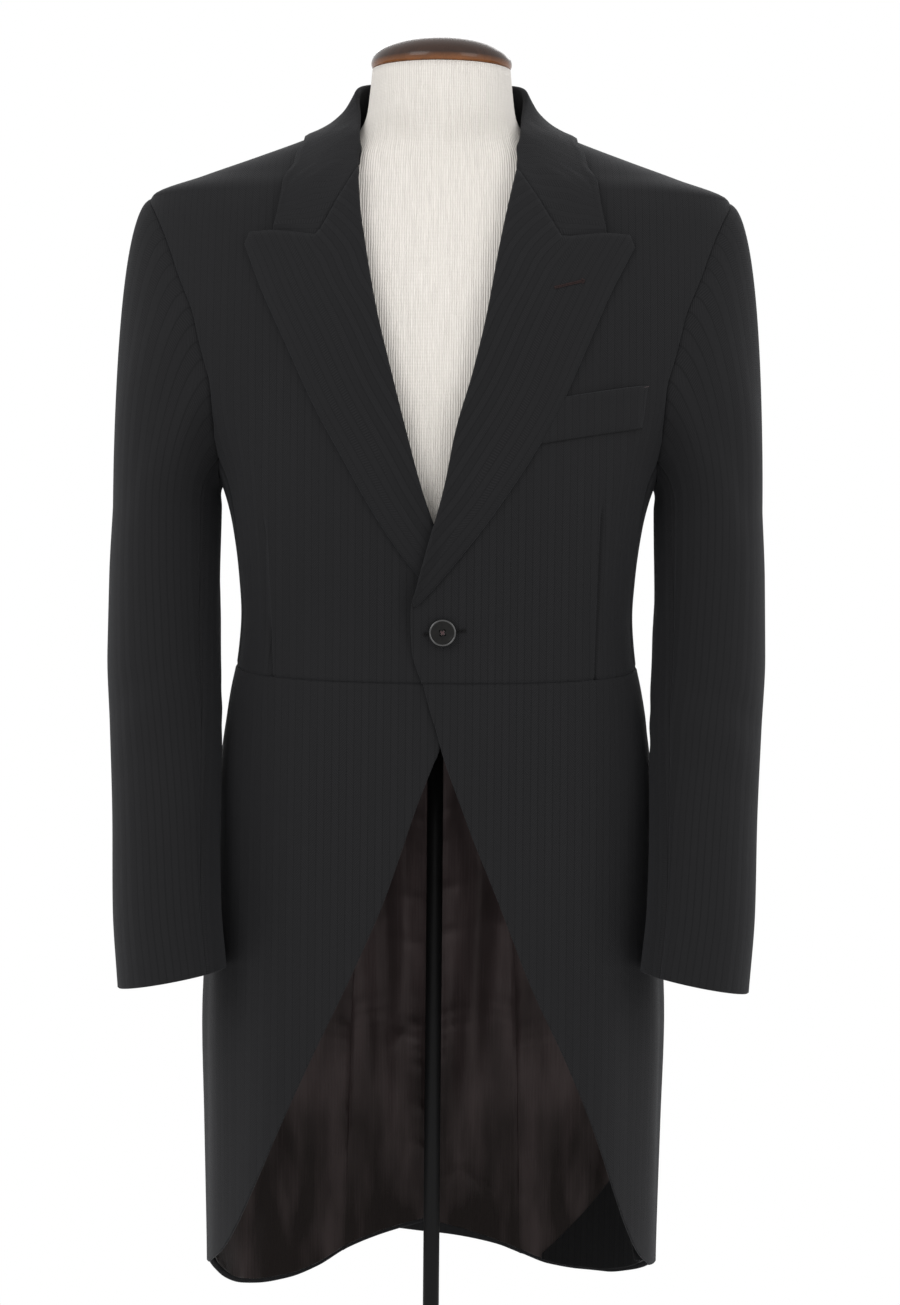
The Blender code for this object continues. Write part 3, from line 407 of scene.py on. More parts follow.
# ---- Wool and body shape -------------------------------------------------------------------------
# Charcoal-black worsted in a fine herringbone, with a close nap. Every panel of the coat
# is cut from it and hangs on one body shape, a stack of rings set by the tailor's sizes.
STRIPE = 0.0057         # width of one herringbone rib
RIB_PITCH = 0.0019      # between the twill lines inside a rib
CLOTH = 0.0018          # thickness of the wool
BODY = Table("height half_width front back side square", [
    (0.460, 0.1830, -0.132, 0.146, 0.052, 2.30),
    (0.540, 0.1845, -0.132, 0.143, 0.052, 2.30),
    (0.620, 0.1862, -0.131, 0.139, 0.052, 2.30),
    (0.700, 0.1880, -0.130, 0.135, 0.050, 2.30),
    (0.750, 0.1865, -0.129, 0.133, 0.048, 2.30),
    (0.800, 0.1835, -0.129, 0.130, 0.045, 2.30),
    (0.850, 0.1800, -0.128, 0.126, 0.040, 2.35),
    (0.900, 0.1765, -0.126, 0.118, 0.033, 2.40),
    (0.940, 0.1715, -0.123, 0.107, 0.025, 2.40),
    (0.970, 0.1660, -0.121, 0.099, 0.018, 2.45),
    (1.000, 0.1600, -0.121, 0.095, 0.015, 2.50),
    (1.030, 0.1580, -0.123, 0.096, 0.015, 2.50),
    (1.060, 0.1600, -0.127, 0.101, 0.016, 2.50),
    (1.100, 0.1655, -0.132, 0.110, 0.018, 2.50),
    (1.130, 0.1735, -0.136, 0.116, 0.020, 2.40),
    (1.150, 0.1840, -0.137, 0.118, 0.020, 2.30),
    (1.180, 0.2050, -0.136, 0.121, 0.020, 2.15),
    (1.220, 0.2300, -0.131, 0.123, 0.020, 2.05),
    (1.264, 0.2440, -0.120, 0.123, 0.019, 2.00),
    (1.300, 0.2480, -0.106, 0.120, 0.018, 2.00),
    (1.340, 0.2440, -0.086, 0.113, 0.016, 2.00),
    (1.368, 0.2333, -0.067, 0.104, 0.015, 2.00),
    (1.384, 0.1941, -0.053, 0.098, 0.018, 2.00),
    (1.400, 0.1514, -0.040, 0.091, 0.022, 2.00),
    (1.416, 0.1100, -0.029, 0.083, 0.025, 2.00),
    (1.427, 0.0860, -0.020, 0.076, 0.027, 2.00),
    (1.441, 0.0725, -0.012, 0.069, 0.028, 2.00),
    (1.460, 0.0665, -0.008, 0.066, 0.028, 2.00),
])
FRONT_EDGE = Table("height left right", [
    (0.509, 0.1746, 0.1800),
    (0.519, 0.1650, 0.1680),
    (0.534, 0.1570, 0.1570),
    (0.555, 0.1485, 0.1455),
    (0.600, 0.1318, 0.1218),
    (0.670, 0.1028, 0.0885),
    (0.732, 0.0750, 0.0618),
    (0.798, 0.0511, 0.0375),
    (0.860, 0.0275, 0.0195),
    (0.929, 0.0038, -0.0038),
    (0.974, -0.0085, -0.0110),
    (1.012, -0.0186, -0.0150),
    (1.034, -0.0187, -0.0150),
    (1.059, -0.0119, -0.0080),
    (1.091, -0.0024, 0.0022),
    (1.117, 0.0053, 0.0116),
    (1.155, 0.0118, 0.0219),
    (1.194, 0.0230, 0.0330),
    (1.233, 0.0327, 0.0419),
    (1.272, 0.0410, 0.0517),
    (1.313, 0.0478, 0.0587),
    (1.347, 0.0541, 0.0634),
    (1.387, 0.0621, 0.0660),
])
SIDE_SEAM = Table("height angle", [(0.97, 78.0), (1.03, 77.0), (1.10, 74.0), (1.152, 69.4)])
BACK_SEAM = Table("height angle", [
    (0.48, 159.0), (0.75, 162.0), (0.97, 166.0), (1.002, 166.5), (1.03, 165.0), (1.06, 161.5),
    (1.10, 154.5), (1.13, 148.0), (1.152, 142.5), (1.18, 135.0), (1.218, 128.0),
])
ARMHOLE = Table("turn angle height", [
    (0, 92.0, 1.136), (25, 80.0, 1.141), (45, 69.4, 1.152), (65, 59.5, 1.180), (85, 52.5, 1.218),
    (105, 52.8, 1.256), (130, 58.4, 1.305), (152, 69.1, 1.345), (166, 81.0, 1.361),
    (174, 89.5, 1.3662), (180, 98.0, 1.368), (187, 103.5, 1.3662), (195, 108.0, 1.361),
    (208, 112.0, 1.345), (230, 120.0, 1.305), (255, 126.0, 1.256), (275, 128.0, 1.218),
    (295, 123.0, 1.180), (315, 113.0, 1.152), (335, 103.0, 1.141), (360, 92.0, 1.136),
])
NECK = Table("angle seam roll", [
    (20.5, 1.3855, 1.3880), (25.0, 1.3905, 1.4005), (30.0, 1.3956, 1.4080), (36.0, 1.4016, 1.4152),
    (45.0, 1.4090, 1.4230), (56.0, 1.4142, 1.4322), (68.0, 1.4185, 1.4415), (90.0, 1.4235, 1.4565),
    (120.0, 1.4285, 1.4635), (180.0, 1.4310, 1.4665),
])
HEM = Table("angle left right", [
    (70.0, 0.511, 0.509), (90.0, 0.503, 0.501), (105.0, 0.492, 0.485), (118.0, 0.485, 0.472),
    (132.0, 0.481, 0.469), (146.0, 0.482, 0.474), (158.0, 0.491, 0.492), (167.0, 0.501, 0.504),
    (180.0, 0.514, 0.5185),
])
LAP = Table("height lift", [
    (0.80, 0.0), (0.87, 0.0), (0.93, 0.0030), (1.00, 0.0030), (1.034, 0.0064), (1.09, 0.0064),
    (1.12, 0.0040), (1.16, 0.0), (1.20, 0.0),
])
LAP_FULL = 0.022        # from the centre, the whole lift up to here
LAP_GONE = 0.066        # and none from here on
SHOULDER_ANGLE = 98.0
SIDE_WAIST_ANGLE = 78.0
PLEAT_WAIST_ANGLE = 166.5
PLEAT_HEM_ANGLE = 159.0
RIB_LEVEL = 1.03
ARMPIT = 1.10
WAIST_LEVEL = 0.988
WAIST_FRONT = 0.9757    # height of the waist seam at the front edge
WAIST_RISE = 0.115      # its climb for each metre towards the back
VENT_TOP = 0.985
VENT_UNDERLAP = 12.0
VENT_STEP = 0.0075
VENT_LIFT = 0.0026
WAIST_SEAM = (0.0016, 0.0010)       # depth and width of its dip
NAMES = {1: "left", -1: "right"}


def ease(share):
    share = np.clip(share, 0, 1)
    return share * share * (3 - 2 * share)


def lifts(side, degrees, height, x):
    """What the wearer's left side stands off where it laps the right, in front and at the vent."""
    if side < 0:
        return 0.0
    lap = LAP.at(height, "lift") * ease((LAP_GONE - x) / (LAP_GONE - LAP_FULL))
    in_front = (np.abs(degrees) < 90) & (height > LAP.columns[0][1]) & (height < LAP.columns[0][-2])
    vent = VENT_LIFT * ease((degrees - 166) / 12) * (height <= VENT_TOP)
    return np.where(in_front, lap, 0.0) + vent


def cloth_point(side, degrees, height, out=0.0):
    """Places out from the body, for the wearer's left (side 1) or right (-1)."""
    base = ring_point(BODY, degrees, height)
    stand_off = out + lifts(side, degrees, base[..., 2], base[..., 0])
    place = base + ring_normal(BODY, degrees, base[..., 2]) * np.asarray(stand_off)[..., None]
    return place * (side, 1, 1)


def angle_at(x, height):
    """The angle whose place on the front of the body lies x from the centre."""
    share = np.minimum(np.abs(x) / BODY.at(height, "half_width"), 1.0)
    sine = share ** (BODY.at(height, "square") / 2)
    return np.sign(x) * np.degrees(np.arcsin(sine))


def moved(degrees, height, distance):
    """The angle moved along the cloth by a distance."""
    speed = np.linalg.norm(ring_point(BODY, degrees + 0.5, height) - ring_point(BODY, degrees - 0.5, height))
    return degrees + distance / max(speed, 1e-5)


def waist(degrees):
    """Height of the waist seam, which lies in one plane that climbs to the back."""
    behind = ring_point(BODY, degrees, WAIST_LEVEL)[..., 1] - BODY.at(WAIST_LEVEL, "front")
    return WAIST_FRONT + WAIST_RISE * behind


def edge_angle(side, height):
    return float(angle_at(FRONT_EDGE.at(height, NAMES[side]), height))


def on_armhole(turn):
    """Angle and height of a place on the armhole."""
    return float(ARMHOLE.at(turn, "angle")), float(ARMHOLE.at(turn, "height"))


def mix(a, b, share):
    return a + (b - a) * share


def between(start, end, share):
    return tuple(mix(a, b, share) for a, b in zip(start, end))


def spaced(length, step, extra=()):
    """Distances along a line: even, with closer ones at both ends for a crisp edge."""
    close = [0.0009, 0.0024]
    ends = close + [length - d for d in close]
    even = np.linspace(0, length, max(3, round(length / step) + 1))
    every = np.sort(np.concatenate([even, ends, np.asarray(extra, float) * length]))
    kept = [0.0]
    for d in every:
        if d - kept[-1] > 0.0005:
            kept.append(d)
    kept[-1] = length
    return np.array(kept)


def threaded(grid, step, place, straight=False, dense=()):
    """A fine grid run smoothly through a coarse one, at even distances on the cloth."""
    grid = np.array(grid, float)
    for axis in (0, 1):
        spots = place(grid[..., 0], grid[..., 1])
        gaps = np.linalg.norm(np.diff(spots, axis=axis), axis=2).mean(axis=1 - axis)
        knots = np.concatenate([[0], np.cumsum(np.maximum(gaps, 1e-6))])
        wanted = spaced(knots[-1], step, dense if axis else ())
        grid = np.moveaxis(grid, axis, 0)
        if axis and straight:
            flat = grid.reshape(len(knots), -1)
            flat = np.stack([np.interp(wanted, knots, column) for column in flat.T], axis=1)
            grid = flat.reshape((len(wanted),) + grid.shape[1:])
        else:
            grid = read(knots, grid, wanted)
        grid = np.moveaxis(grid, 0, axis)
    return grid


def from_borders(spots):
    """Distance of each point of a grid from its first and last row and column."""
    found = []
    for axis in (0, 1):
        gaps = np.linalg.norm(np.diff(spots, axis=axis), axis=2)
        start = np.zeros(spots.shape[:2])
        if axis == 0:
            start[1:] = np.cumsum(gaps, axis=0)
            found += [start, start[-1:] - start]
        else:
            start[:, 1:] = np.cumsum(gaps, axis=1)
            found += [start, start[:, -1:] - start]
    return dict(zip(("low", "high", "first", "last"), found))


def seam_dip(spots, borders, depth=0.0009, width=0.0022):
    """A pressed seam: the cloth turns in along the borders that are sewn."""
    far = from_borders(spots)
    return -depth * sum(swell(far[name], width) for name in borders)


def creases(table, across, height):
    """Soft ridges (positive) and troughs along short lines across the cloth."""
    total = np.zeros(np.broadcast(across, height).shape)
    for start, top, end, bottom, width, depth in table:
        run = (end - start, bottom - top)
        length = max(run[0] ** 2 + run[1] ** 2, 1e-9)
        t = np.clip(((across - start) * run[0] + (height - top) * run[1]) / length, 0, 1)
        far = (across - start - t * run[0]) ** 2 + (height - top - t * run[1]) ** 2
        total += depth * np.exp(-far / width ** 2) * np.sin(math.pi * (0.12 + 0.76 * t)) ** 0.8
    return total


def girth(degrees, height, start):
    """Signed distance around the body from one angle to others, at each height."""
    shares = np.linspace(0, 1, 25).reshape((-1,) + (1,) * np.ndim(degrees))
    path = ring_point(BODY, start + (degrees - start) * shares, height + 0 * shares * degrees)
    return np.linalg.norm(np.diff(path, axis=0), axis=-1).sum(axis=0) * np.sign(degrees - start)


GRAIN_TURN = 50.0       # in front of this angle the ribs hang plumb


def front_grain(degrees, height):
    """UV in metres: the ribs hang plumb in front and follow the cloth round the side."""
    x = ring_point(BODY, degrees, height)[..., 0]
    beyond = ring_point(BODY, GRAIN_TURN, height)[..., 0] + girth(degrees, height, GRAIN_TURN)
    return np.stack([np.where(degrees < GRAIN_TURN, x, beyond), height], axis=-1)


def back_grain(degrees, height):
    return np.stack([girth(degrees, height, 180.0), height], axis=-1)


RIM_BULGE = 0.42        # share of the thickness that a rounded rim stands out


def shell(name, outer, inner, uv, finish, rims=()):
    """A thin closed wall from two matching grids; a free border gets a rounded rim."""
    rows, columns = outer.shape[:2]
    index = np.arange(rows * columns).reshape(rows, columns)
    low, high = [(0, j) for j in range(columns)], [(rows - 1, j) for j in range(columns)]
    first, last = [(i, 0) for i in range(rows)], [(i, columns - 1) for i in range(rows)]
    border = low[:-1] + last[:-1] + high[:0:-1] + first[:0:-1]
    middle = (outer + inner) / 2
    thick = np.linalg.norm(outer - inner, axis=2)
    push = np.zeros(outer.shape)
    for rim, edge, next_in in (("low", np.s_[0], np.s_[1]), ("high", np.s_[-1], np.s_[-2]),
                               ("first", np.s_[:, 0], np.s_[:, 1]), ("last", np.s_[:, -1], np.s_[:, -2])):
        if rim in rims:
            push[edge] += unit(middle[edge] - middle[next_in])
    rim_points = [middle[place] + push[place] * thick[place] * RIM_BULGE for place in border]
    points = np.concatenate([outer.reshape(-1, 3), inner.reshape(-1, 3), rim_points])
    corner = [index[place] for place in border]
    flat = uv.reshape(-1, 2)
    flat = np.concatenate([flat, flat, flat[corner]])
    quads = np.stack([index[:-1, :-1], index[:-1, 1:], index[1:, 1:], index[1:, :-1]], axis=-1).reshape(-1, 4)
    count = rows * columns
    faces = quads.tolist() + (quads[:, ::-1] + count).tolist()
    for k in range(len(border)):
        after = (k + 1) % len(border)
        a, b = corner[k], corner[after]
        faces.append((b, a, 2 * count + k, 2 * count + after))
        faces.append((2 * count + after, 2 * count + k, a + count, b + count))
    return mesh_piece(name, points, faces, finish, flat)


ALLOWANCE = 0.006       # turned in at each seam and edge of a panel


def cut_size(spots):
    """Width, length and area of the flat panel, with its seam allowances."""
    across = np.linalg.norm(np.diff(spots, axis=1), axis=2).sum(axis=1)
    along = np.linalg.norm(np.diff(spots, axis=0), axis=2).sum(axis=0)
    a = spots[1:, 1:] - spots[:-1, :-1]
    b = spots[1:, :-1] - spots[:-1, 1:]
    area = np.linalg.norm(np.cross(a, b), axis=2).sum() / 2
    area += ALLOWANCE * (across.mean() + along.mean()) * 2
    length = max(across.max(), along.max()) + 2 * ALLOWANCE
    width = min(across.max(), along.max()) + 2 * ALLOWANCE
    width = min(width, 2 * area / length)
    return (round(float(width), 3), round(float(length), 3)), round(float(min(area, width * length)), 4)


def sewn(piece, spots, slot, nodes):
    """Body, CAD nodes and cut size of one cloth panel; the slot is not used."""
    belongs(piece, slot, *nodes)
    flat, area = cut_size(spots)


def panel(name, side, grid, out, grain, rims, slot, finish, nodes, depth=0.0, thick=CLOTH):
    """One panel on the body: its two faces and its rims, in place of its CAD nodes."""
    degrees, height = grid[..., 0], grid[..., 1]
    outer = cloth_point(side, degrees, height, out - depth)
    inner = cloth_point(side, degrees, height, out - depth - thick)
    piece = shell(name, outer, inner, grain(degrees, height), finish, rims)
    sewn(piece, outer, slot, nodes)


def herringbone(name, nap, dark, light):
    """Charcoal wool in herringbone stripes, with its nap and the colours of its two yarns; the facing gets
    darker colours as painted shade.
    """
    cloth = Finish(name, Roughness=0.9, Sheen_Weight=nap, Sheen_Roughness=0.5)
    cloth.feed(Sheen_Tint=(0.55, 0.56, 0.60, 1), Specular_IOR_Level=nap * 1.7)
    across, along = cloth.across_and_along()
    zigzag = across.math("PINGPONG", STRIPE)
    twill = ((along + zigzag) * (2 * math.pi / RIB_PITCH)).math("SINE")
    rib = (across / (2 * STRIPE)).math("FRACT").math("GREATER_THAN", 0.5)
    parting = (zigzag / STRIPE - 0.5).math("ABSOLUTE").math("GREATER_THAN", 0.43)
    cloudy = cloth.noise(7, 4)
    fibre = cloth.noise(1.0, 2, "UV", (2300, 700, 1))
    tone = rib * 0.05 + twill * 0.26 + cloudy * 0.22 + fibre * 0.44 - parting * 0.36
    cloth.feed(Base_Color=cloth.blend(tone, dark, light))
    cloth.feed(Roughness=0.94 - fibre * 0.12)
    cloth.bump(twill * 0.35 + fibre * 0.6 - parting * 0.5, 0.00018)
    return cloth


wool = herringbone("herringbone_wool", 0.07, (0.0064, 0.0064, 0.0069, 1), (0.0172, 0.0171, 0.0182, 1))
BROAD_STEP = 0.0045     # between points on the plain panels
FINE_STEP = 0.004       # and on the ones with darts, folds or facings

NECK_ANGLES = (28.0, 35.0, 43.0, 52.0, 61.0)
SHOULDER_HEIGHTS = [1.368, 1.376, 1.384] + [float(NECK.at(angle, "seam")) for angle in NECK_ANGLES]
RISES = (0.28, 0.50, 0.80)
FALLS = (0.0, 0.05, 0.12, 0.24, 0.38, 0.53, 0.68, 0.80, 0.89, 0.95, 0.98, 1.0)
COLUMNS = (0.0, 0.04, 0.1, 0.18, 0.28, 0.4, 0.52, 0.64, 0.76, 0.88, 1.0)


def on_left(degrees, height):
    return cloth_point(1, degrees, height)


def low_rows(degrees):
    """The heights shared by the panels between the waist seam and the armpit."""
    low = float(waist(degrees))
    return [low, mix(low, RIB_LEVEL, 0.5), RIB_LEVEL, 1.06, ARMPIT]


def pleat(side, fall):
    """The seam between skirt and back, as an angle and a height."""
    level = mix(float(waist(PLEAT_WAIST_ANGLE)), float(HEM.at(PLEAT_HEM_ANGLE, NAMES[side])), fall)
    return float(BACK_SEAM.at(level, "angle")), level


def hang_heights(side, share, start, end, low_start, low_end, angle, fall):
    """The height of a skirt row: level at the waist, following the hem at the bottom."""
    hem = HEM.at(angle, NAMES[side])
    return mix(start, end, share) + fall ** 2.5 * (hem - mix(low_start, low_end, share))


# ---- Backs ---------------------------------------------------------------------------------------
# Each back is one length of wool from the neck to the hem. They are sewn together down the
# middle to the waist, and below it the left laps over the right in a long vent.
def tail_rows(side):
    centre_low = float(HEM.at(180.0, NAMES[side]))
    pleat_low = float(HEM.at(PLEAT_HEM_ANGLE, NAMES[side]))
    grid = []
    for fall in FALLS:
        first, first_level = pleat(side, fall)
        last_level = mix(float(waist(180)), centre_low, fall)
        step = VENT_STEP * min(fall / FALLS[1], 1.0) if side < 0 else 0.0
        last = moved(180.0, last_level, -step)
        row = []
        for share in COLUMNS[::2]:
            angle = mix(first, last, share)
            level = hang_heights(side, share, first_level, last_level, pleat_low, centre_low, angle, fall)
            row.append((angle, float(level)))
        grid.append(row)
    return grid


def back_rows(side):
    grid = tail_rows(side)[::-1]
    levels = low_rows(PLEAT_WAIST_ANGLE)[1:]
    levels += [mix(ARMPIT, BACK_SEAM.columns[0][-1], rise) for rise in RISES + (1.0,)]
    rows = [(float(BACK_SEAM.at(level, "angle")), level) for level in levels]
    rows += [on_armhole(turn) for turn in (255, 230, 208, 195, 187)]
    rows += [(SHOULDER_ANGLE, level) for level in SHOULDER_HEIGHTS]
    for first, level in rows:
        grid.append([(mix(first, 180.0, share), level) for share in COLUMNS[::2]])
    angles = [mix(SHOULDER_ANGLE, 180.0, share) for share in COLUMNS[::2]]
    grid.append([(angle, float(NECK.at(angle, "seam"))) for angle in angles])
    return grid


BACK_CREASES = [
    (0.030, 1.330, 0.115, 1.290, 0.016, 0.0010),
    (0.020, 1.055, 0.075, 1.020, 0.012, -0.0009),
    (0.035, 0.960, 0.050, 0.700, 0.018, 0.0022),
    (0.012, 0.900, 0.020, 0.560, 0.014, -0.0018),
    (0.110, 1.250, 0.090, 1.120, 0.016, -0.0011),
]
for side in (1, -1):
    grid = threaded(back_rows(side), BROAD_STEP, on_left)
    if side > 0:
        below = ease((VENT_TOP - 0.004 - grid[..., 1]) / 0.010)
        across_back = np.linspace(0, 1, grid.shape[1])
        grid[..., 0] += VENT_UNDERLAP * below * ease((across_back - 0.2) / 0.8)
    spots = on_left(grid[..., 0], grid[..., 1])
    out = seam_dip(spots, ("first",)) + seam_dip(spots, ("high",))
    out = out + seam_dip(spots, ("last",)) * (grid[..., 1] > VENT_TOP)
    middle = girth(grid[..., 0], grid[..., 1], 180.0)
    out = out + creases(BACK_CREASES, -middle * (1 + 0.15 * side), grid[..., 1] + 0.012 * side)
    panel("back_panel_" + NAMES[side], side, grid, out, back_grain, ("low", "last"), "wool", wool,
          ["back_" + NAMES[side]])


# ---- Side bodies ---------------------------------------------------------------------------------
# A narrow shaped panel under each arm takes in the waist, between front and back.
SIDE_TURNS = (45, 25, 0, 335, 315, 295, 275)
for side in (1, -1):
    columns = []
    for j, turn in enumerate(SIDE_TURNS):
        share = j / (len(SIDE_TURNS) - 1)
        column = []
        for k, level in enumerate(low_rows(mix(SIDE_WAIST_ANGLE, PLEAT_WAIST_ANGLE, share))):
            angle = mix(float(SIDE_SEAM.at(level, "angle")), float(BACK_SEAM.at(level, "angle")), share)
            column.append((angle, low_rows(angle)[k]))
        top_angle, top_level = on_armhole(turn)
        for rise in RISES + (1.0,):
            level = mix(ARMPIT, top_level, rise)
            angle = mix(column[4][0], top_angle, rise)
            if j in (0, len(SIDE_TURNS) - 1):
                angle = float((SIDE_SEAM if j == 0 else BACK_SEAM).at(level, "angle"))
            column.append((angle, level))
        columns.append(column)
    grid = threaded(np.swapaxes(np.array(columns), 0, 1), BROAD_STEP, on_left)
    spots = on_left(grid[..., 0], grid[..., 1])
    out = seam_dip(spots, ("low", "high", "first", "last"))
    panel("side_body_panel_" + NAMES[side], side, grid, out, front_grain, (), "wool", wool,
          ["side_body_" + NAMES[side]])


# ---- Fronts --------------------------------------------------------------------------------------
# The foreparts run from the shoulder to the waist seam, over canvas, and are shaped by one
# dart each. The edge is pressed sharp below the button and rolls over into the lapel above.
FRONT_CREASES = {
    1: [
        (0.012, 1.012, 0.085, 1.030, 0.009, -0.0007),
        (0.016, 1.002, 0.070, 0.990, 0.008, -0.0006),
        (0.120, 1.240, 0.150, 1.160, 0.014, -0.0010),
        (0.150, 1.150, 0.158, 1.060, 0.012, 0.0010),
        (0.085, 1.380, 0.170, 1.345, 0.014, 0.0008),
    ],
    -1: [
        (0.010, 1.010, 0.095, 1.022, 0.010, -0.0008),
        (0.018, 1.000, 0.080, 0.984, 0.009, -0.0006),
        (0.128, 1.230, 0.152, 1.150, 0.015, -0.0011),
        (0.146, 1.140, 0.156, 1.050, 0.012, 0.0011),
        (0.090, 1.378, 0.165, 1.350, 0.013, 0.0008),
    ],
}
DARTS = {1: (0.1289, 1.1197, 0.1250, 0.978), -1: (0.1353, 1.1038, 0.1285, 0.980)}
DART_SHARES = np.arange(0.60, 0.735, 0.0022)
DART_DEPTH = 0.0022
DART_WIDTH = 0.0010


def front_rows(side):
    picks = []
    for k, level in enumerate(low_rows(40.0)):
        picks.append((edge_angle(side, level), float(SIDE_SEAM.at(level, "angle")), k))
    for rise in RISES:
        level = mix(ARMPIT, SIDE_SEAM.columns[0][-1], rise)
        picks.append((edge_angle(side, level), float(SIDE_SEAM.at(level, "angle")), level))
    for turn in (45, 65, 85, 105, 130, 152, 166, 174):
        outer, level = on_armhole(turn)
        picks.append((edge_angle(side, level), outer, level))
    inners = [edge_angle(side, level) for level in SHOULDER_HEIGHTS[:3]] + list(NECK_ANGLES)
    picks += [(inner, SHOULDER_ANGLE, level) for inner, level in zip(inners, SHOULDER_HEIGHTS)]
    grid = []
    for inner, outer, level in picks:
        angles = [mix(inner, outer, share) for share in COLUMNS]
        heights = [low_rows(a)[level] if isinstance(level, int) else level for a in angles]
        grid.append(list(zip(angles, heights)))
    angles = [mix(70.0, SHOULDER_ANGLE, share) for share in COLUMNS]
    grid.append([(angle, float(NECK.at(angle, "seam"))) for angle in angles])
    return grid


for side in (1, -1):
    grid = threaded(front_rows(side), FINE_STEP, on_left, dense=DART_SHARES)
    spots = on_left(grid[..., 0], grid[..., 1])
    top_x, top, low_x, low = DARTS[side]
    beside = spots[..., 0] - mix(low_x, top_x, (grid[..., 1] - low) / (top - low))
    on_dart = ease((top + 0.004 - grid[..., 1]) / 0.02) * (spots[..., 1] < 0)
    pinch = 0.0004 * swell(beside - 0.004, 0.003) - DART_DEPTH * swell(beside, DART_WIDTH)
    out = seam_dip(spots, ("last", "high"), 0.0017, 0.0013) + seam_dip(spots, ("low",), *WAIST_SEAM)
    out = out + pinch * on_dart
    out = out + creases(FRONT_CREASES[side], spots[..., 0], grid[..., 1])
    panel("front_panel_" + NAMES[side], side, grid, out, front_grain, ("first",), "wool", wool,
          ["front_" + NAMES[side]])


# ---- Skirts --------------------------------------------------------------------------------------
# Two skirts are sewn to the waist seam and sweep away from the button in a long curve to
# the back pleats. They hang free, and their edges are faced, pressed and left unstitched.
SKIRT_COLUMNS = (0.0, 0.03, 0.07, 0.13, 0.21, 0.31, 0.42, 0.54, 0.66, 0.78, 0.90, 1.0)
SKIRT_CREASES = {
    1: [
        (0.118, 0.955, 0.128, 0.640, 0.020, 0.0016),
        (0.150, 0.930, 0.158, 0.560, 0.017, -0.0014),
        (0.188, 0.940, 0.205, 0.520, 0.020, 0.0022),
        (0.232, 0.930, 0.245, 0.520, 0.017, -0.0020),
        (0.285, 0.940, 0.300, 0.500, 0.022, 0.0022),
        (0.070, 0.950, 0.086, 0.800, 0.016, -0.0007),
    ],
    -1: [
        (0.108, 0.950, 0.122, 0.620, 0.019, 0.0015),
        (0.140, 0.940, 0.156, 0.570, 0.018, -0.0015),
        (0.180, 0.930, 0.200, 0.500, 0.019, 0.0021),
        (0.226, 0.940, 0.240, 0.530, 0.018, -0.0018),
        (0.280, 0.930, 0.292, 0.490, 0.021, 0.0024),
        (0.062, 0.955, 0.074, 0.820, 0.015, -0.0007),
    ],
}


def skirt_rows(side):
    edge_low = FRONT_EDGE.columns[0][0]
    pleat_low = float(HEM.at(PLEAT_HEM_ANGLE, NAMES[side]))
    middle, back = float(waist(0)), float(waist(PLEAT_WAIST_ANGLE))
    grid = []
    for fall in FALLS:
        edge_level = mix(middle, edge_low, fall)
        first = edge_angle(side, edge_level)
        last, last_level = pleat(side, fall)
        row = []
        for share in SKIRT_COLUMNS:
            angle = mix(first, last, share)
            level = hang_heights(side, share, edge_level, last_level, edge_low, pleat_low, angle, fall)
            bow = float(waist(angle)) - mix(middle, back, share)
            row.append((angle, float(level) + bow * (1 - fall) ** 4))
        grid.append(row)
    return grid[::-1]


for side in (1, -1):
    grid = threaded(skirt_rows(side), FINE_STEP, on_left)
    spots = on_left(grid[..., 0], grid[..., 1])
    across_skirt = front_grain(grid[..., 0], grid[..., 1])[..., 0]
    out = seam_dip(spots, ("high",), *WAIST_SEAM) + seam_dip(spots, ("last",), 0.0012, 0.0013)
    out = out + creases(SKIRT_CREASES[side], across_skirt, grid[..., 1])
    panel("skirt_panel_" + NAMES[side], side, grid, out, front_grain, ("low", "first"), "wool", wool,
          ["skirt_" + NAMES[side]])


# ---- Tail linings --------------------------------------------------------------------------------
# Near-black satin lines the skirts and tails. It is cut a little long and felled to the
# wool by hand, so it hangs in soft upright folds and puckers along the vent and hem.
LINING = 0.0010
LINING_GAP = 0.0013
SATIN_WEFT = 0.0012
HEM_HOLD = 0.06         # the folds grow from nothing at the hem to full this far above it
satin = Finish("lining_satin", Specular_IOR_Level=0.13, Anisotropic=0.3)
satin.feed(Specular_Tint=(1.0, 0.88, 0.86, 1))
across, along = satin.across_and_along()
shot = satin.noise(1.0, 3, "UV", (520, 14, 1))
# Broad soft patches of painted sheen: noise stretched along the folds lightens the satin's colour where its
# highlights would lie.
painted_sheen = satin.noise(1.0, 2, "UV", (34, 9, 1))
hang = satin.node("ShaderNodeSeparateXYZ", {}, satin.node("ShaderNodeTexCoord", {}, out=3), out=2)
# Painted light: the satin's colour grows lighter with height, from 0.52 m to 0.90 m up the tails.
painted_light_with_height = satin.node("ShaderNodeMapRange", {}, hang, 0.52, 0.90, 0.0, 0.75)
tone = painted_sheen * (painted_light_with_height * 1.1 + 1.0) + shot * 0.12 + painted_light_with_height * 0.8 - 0.54
satin.feed(Base_Color=satin.blend(tone, (0.0026, 0.0014, 0.0010, 1), (0.0860, 0.0660, 0.0660, 1)))
satin.feed(Roughness=shot * 0.10 + painted_sheen * 0.08 + 0.18)
satin.bump((across * (2 * math.pi / SATIN_WEFT)).math("SINE") * 0.2 + shot * 0.8, 0.00010)

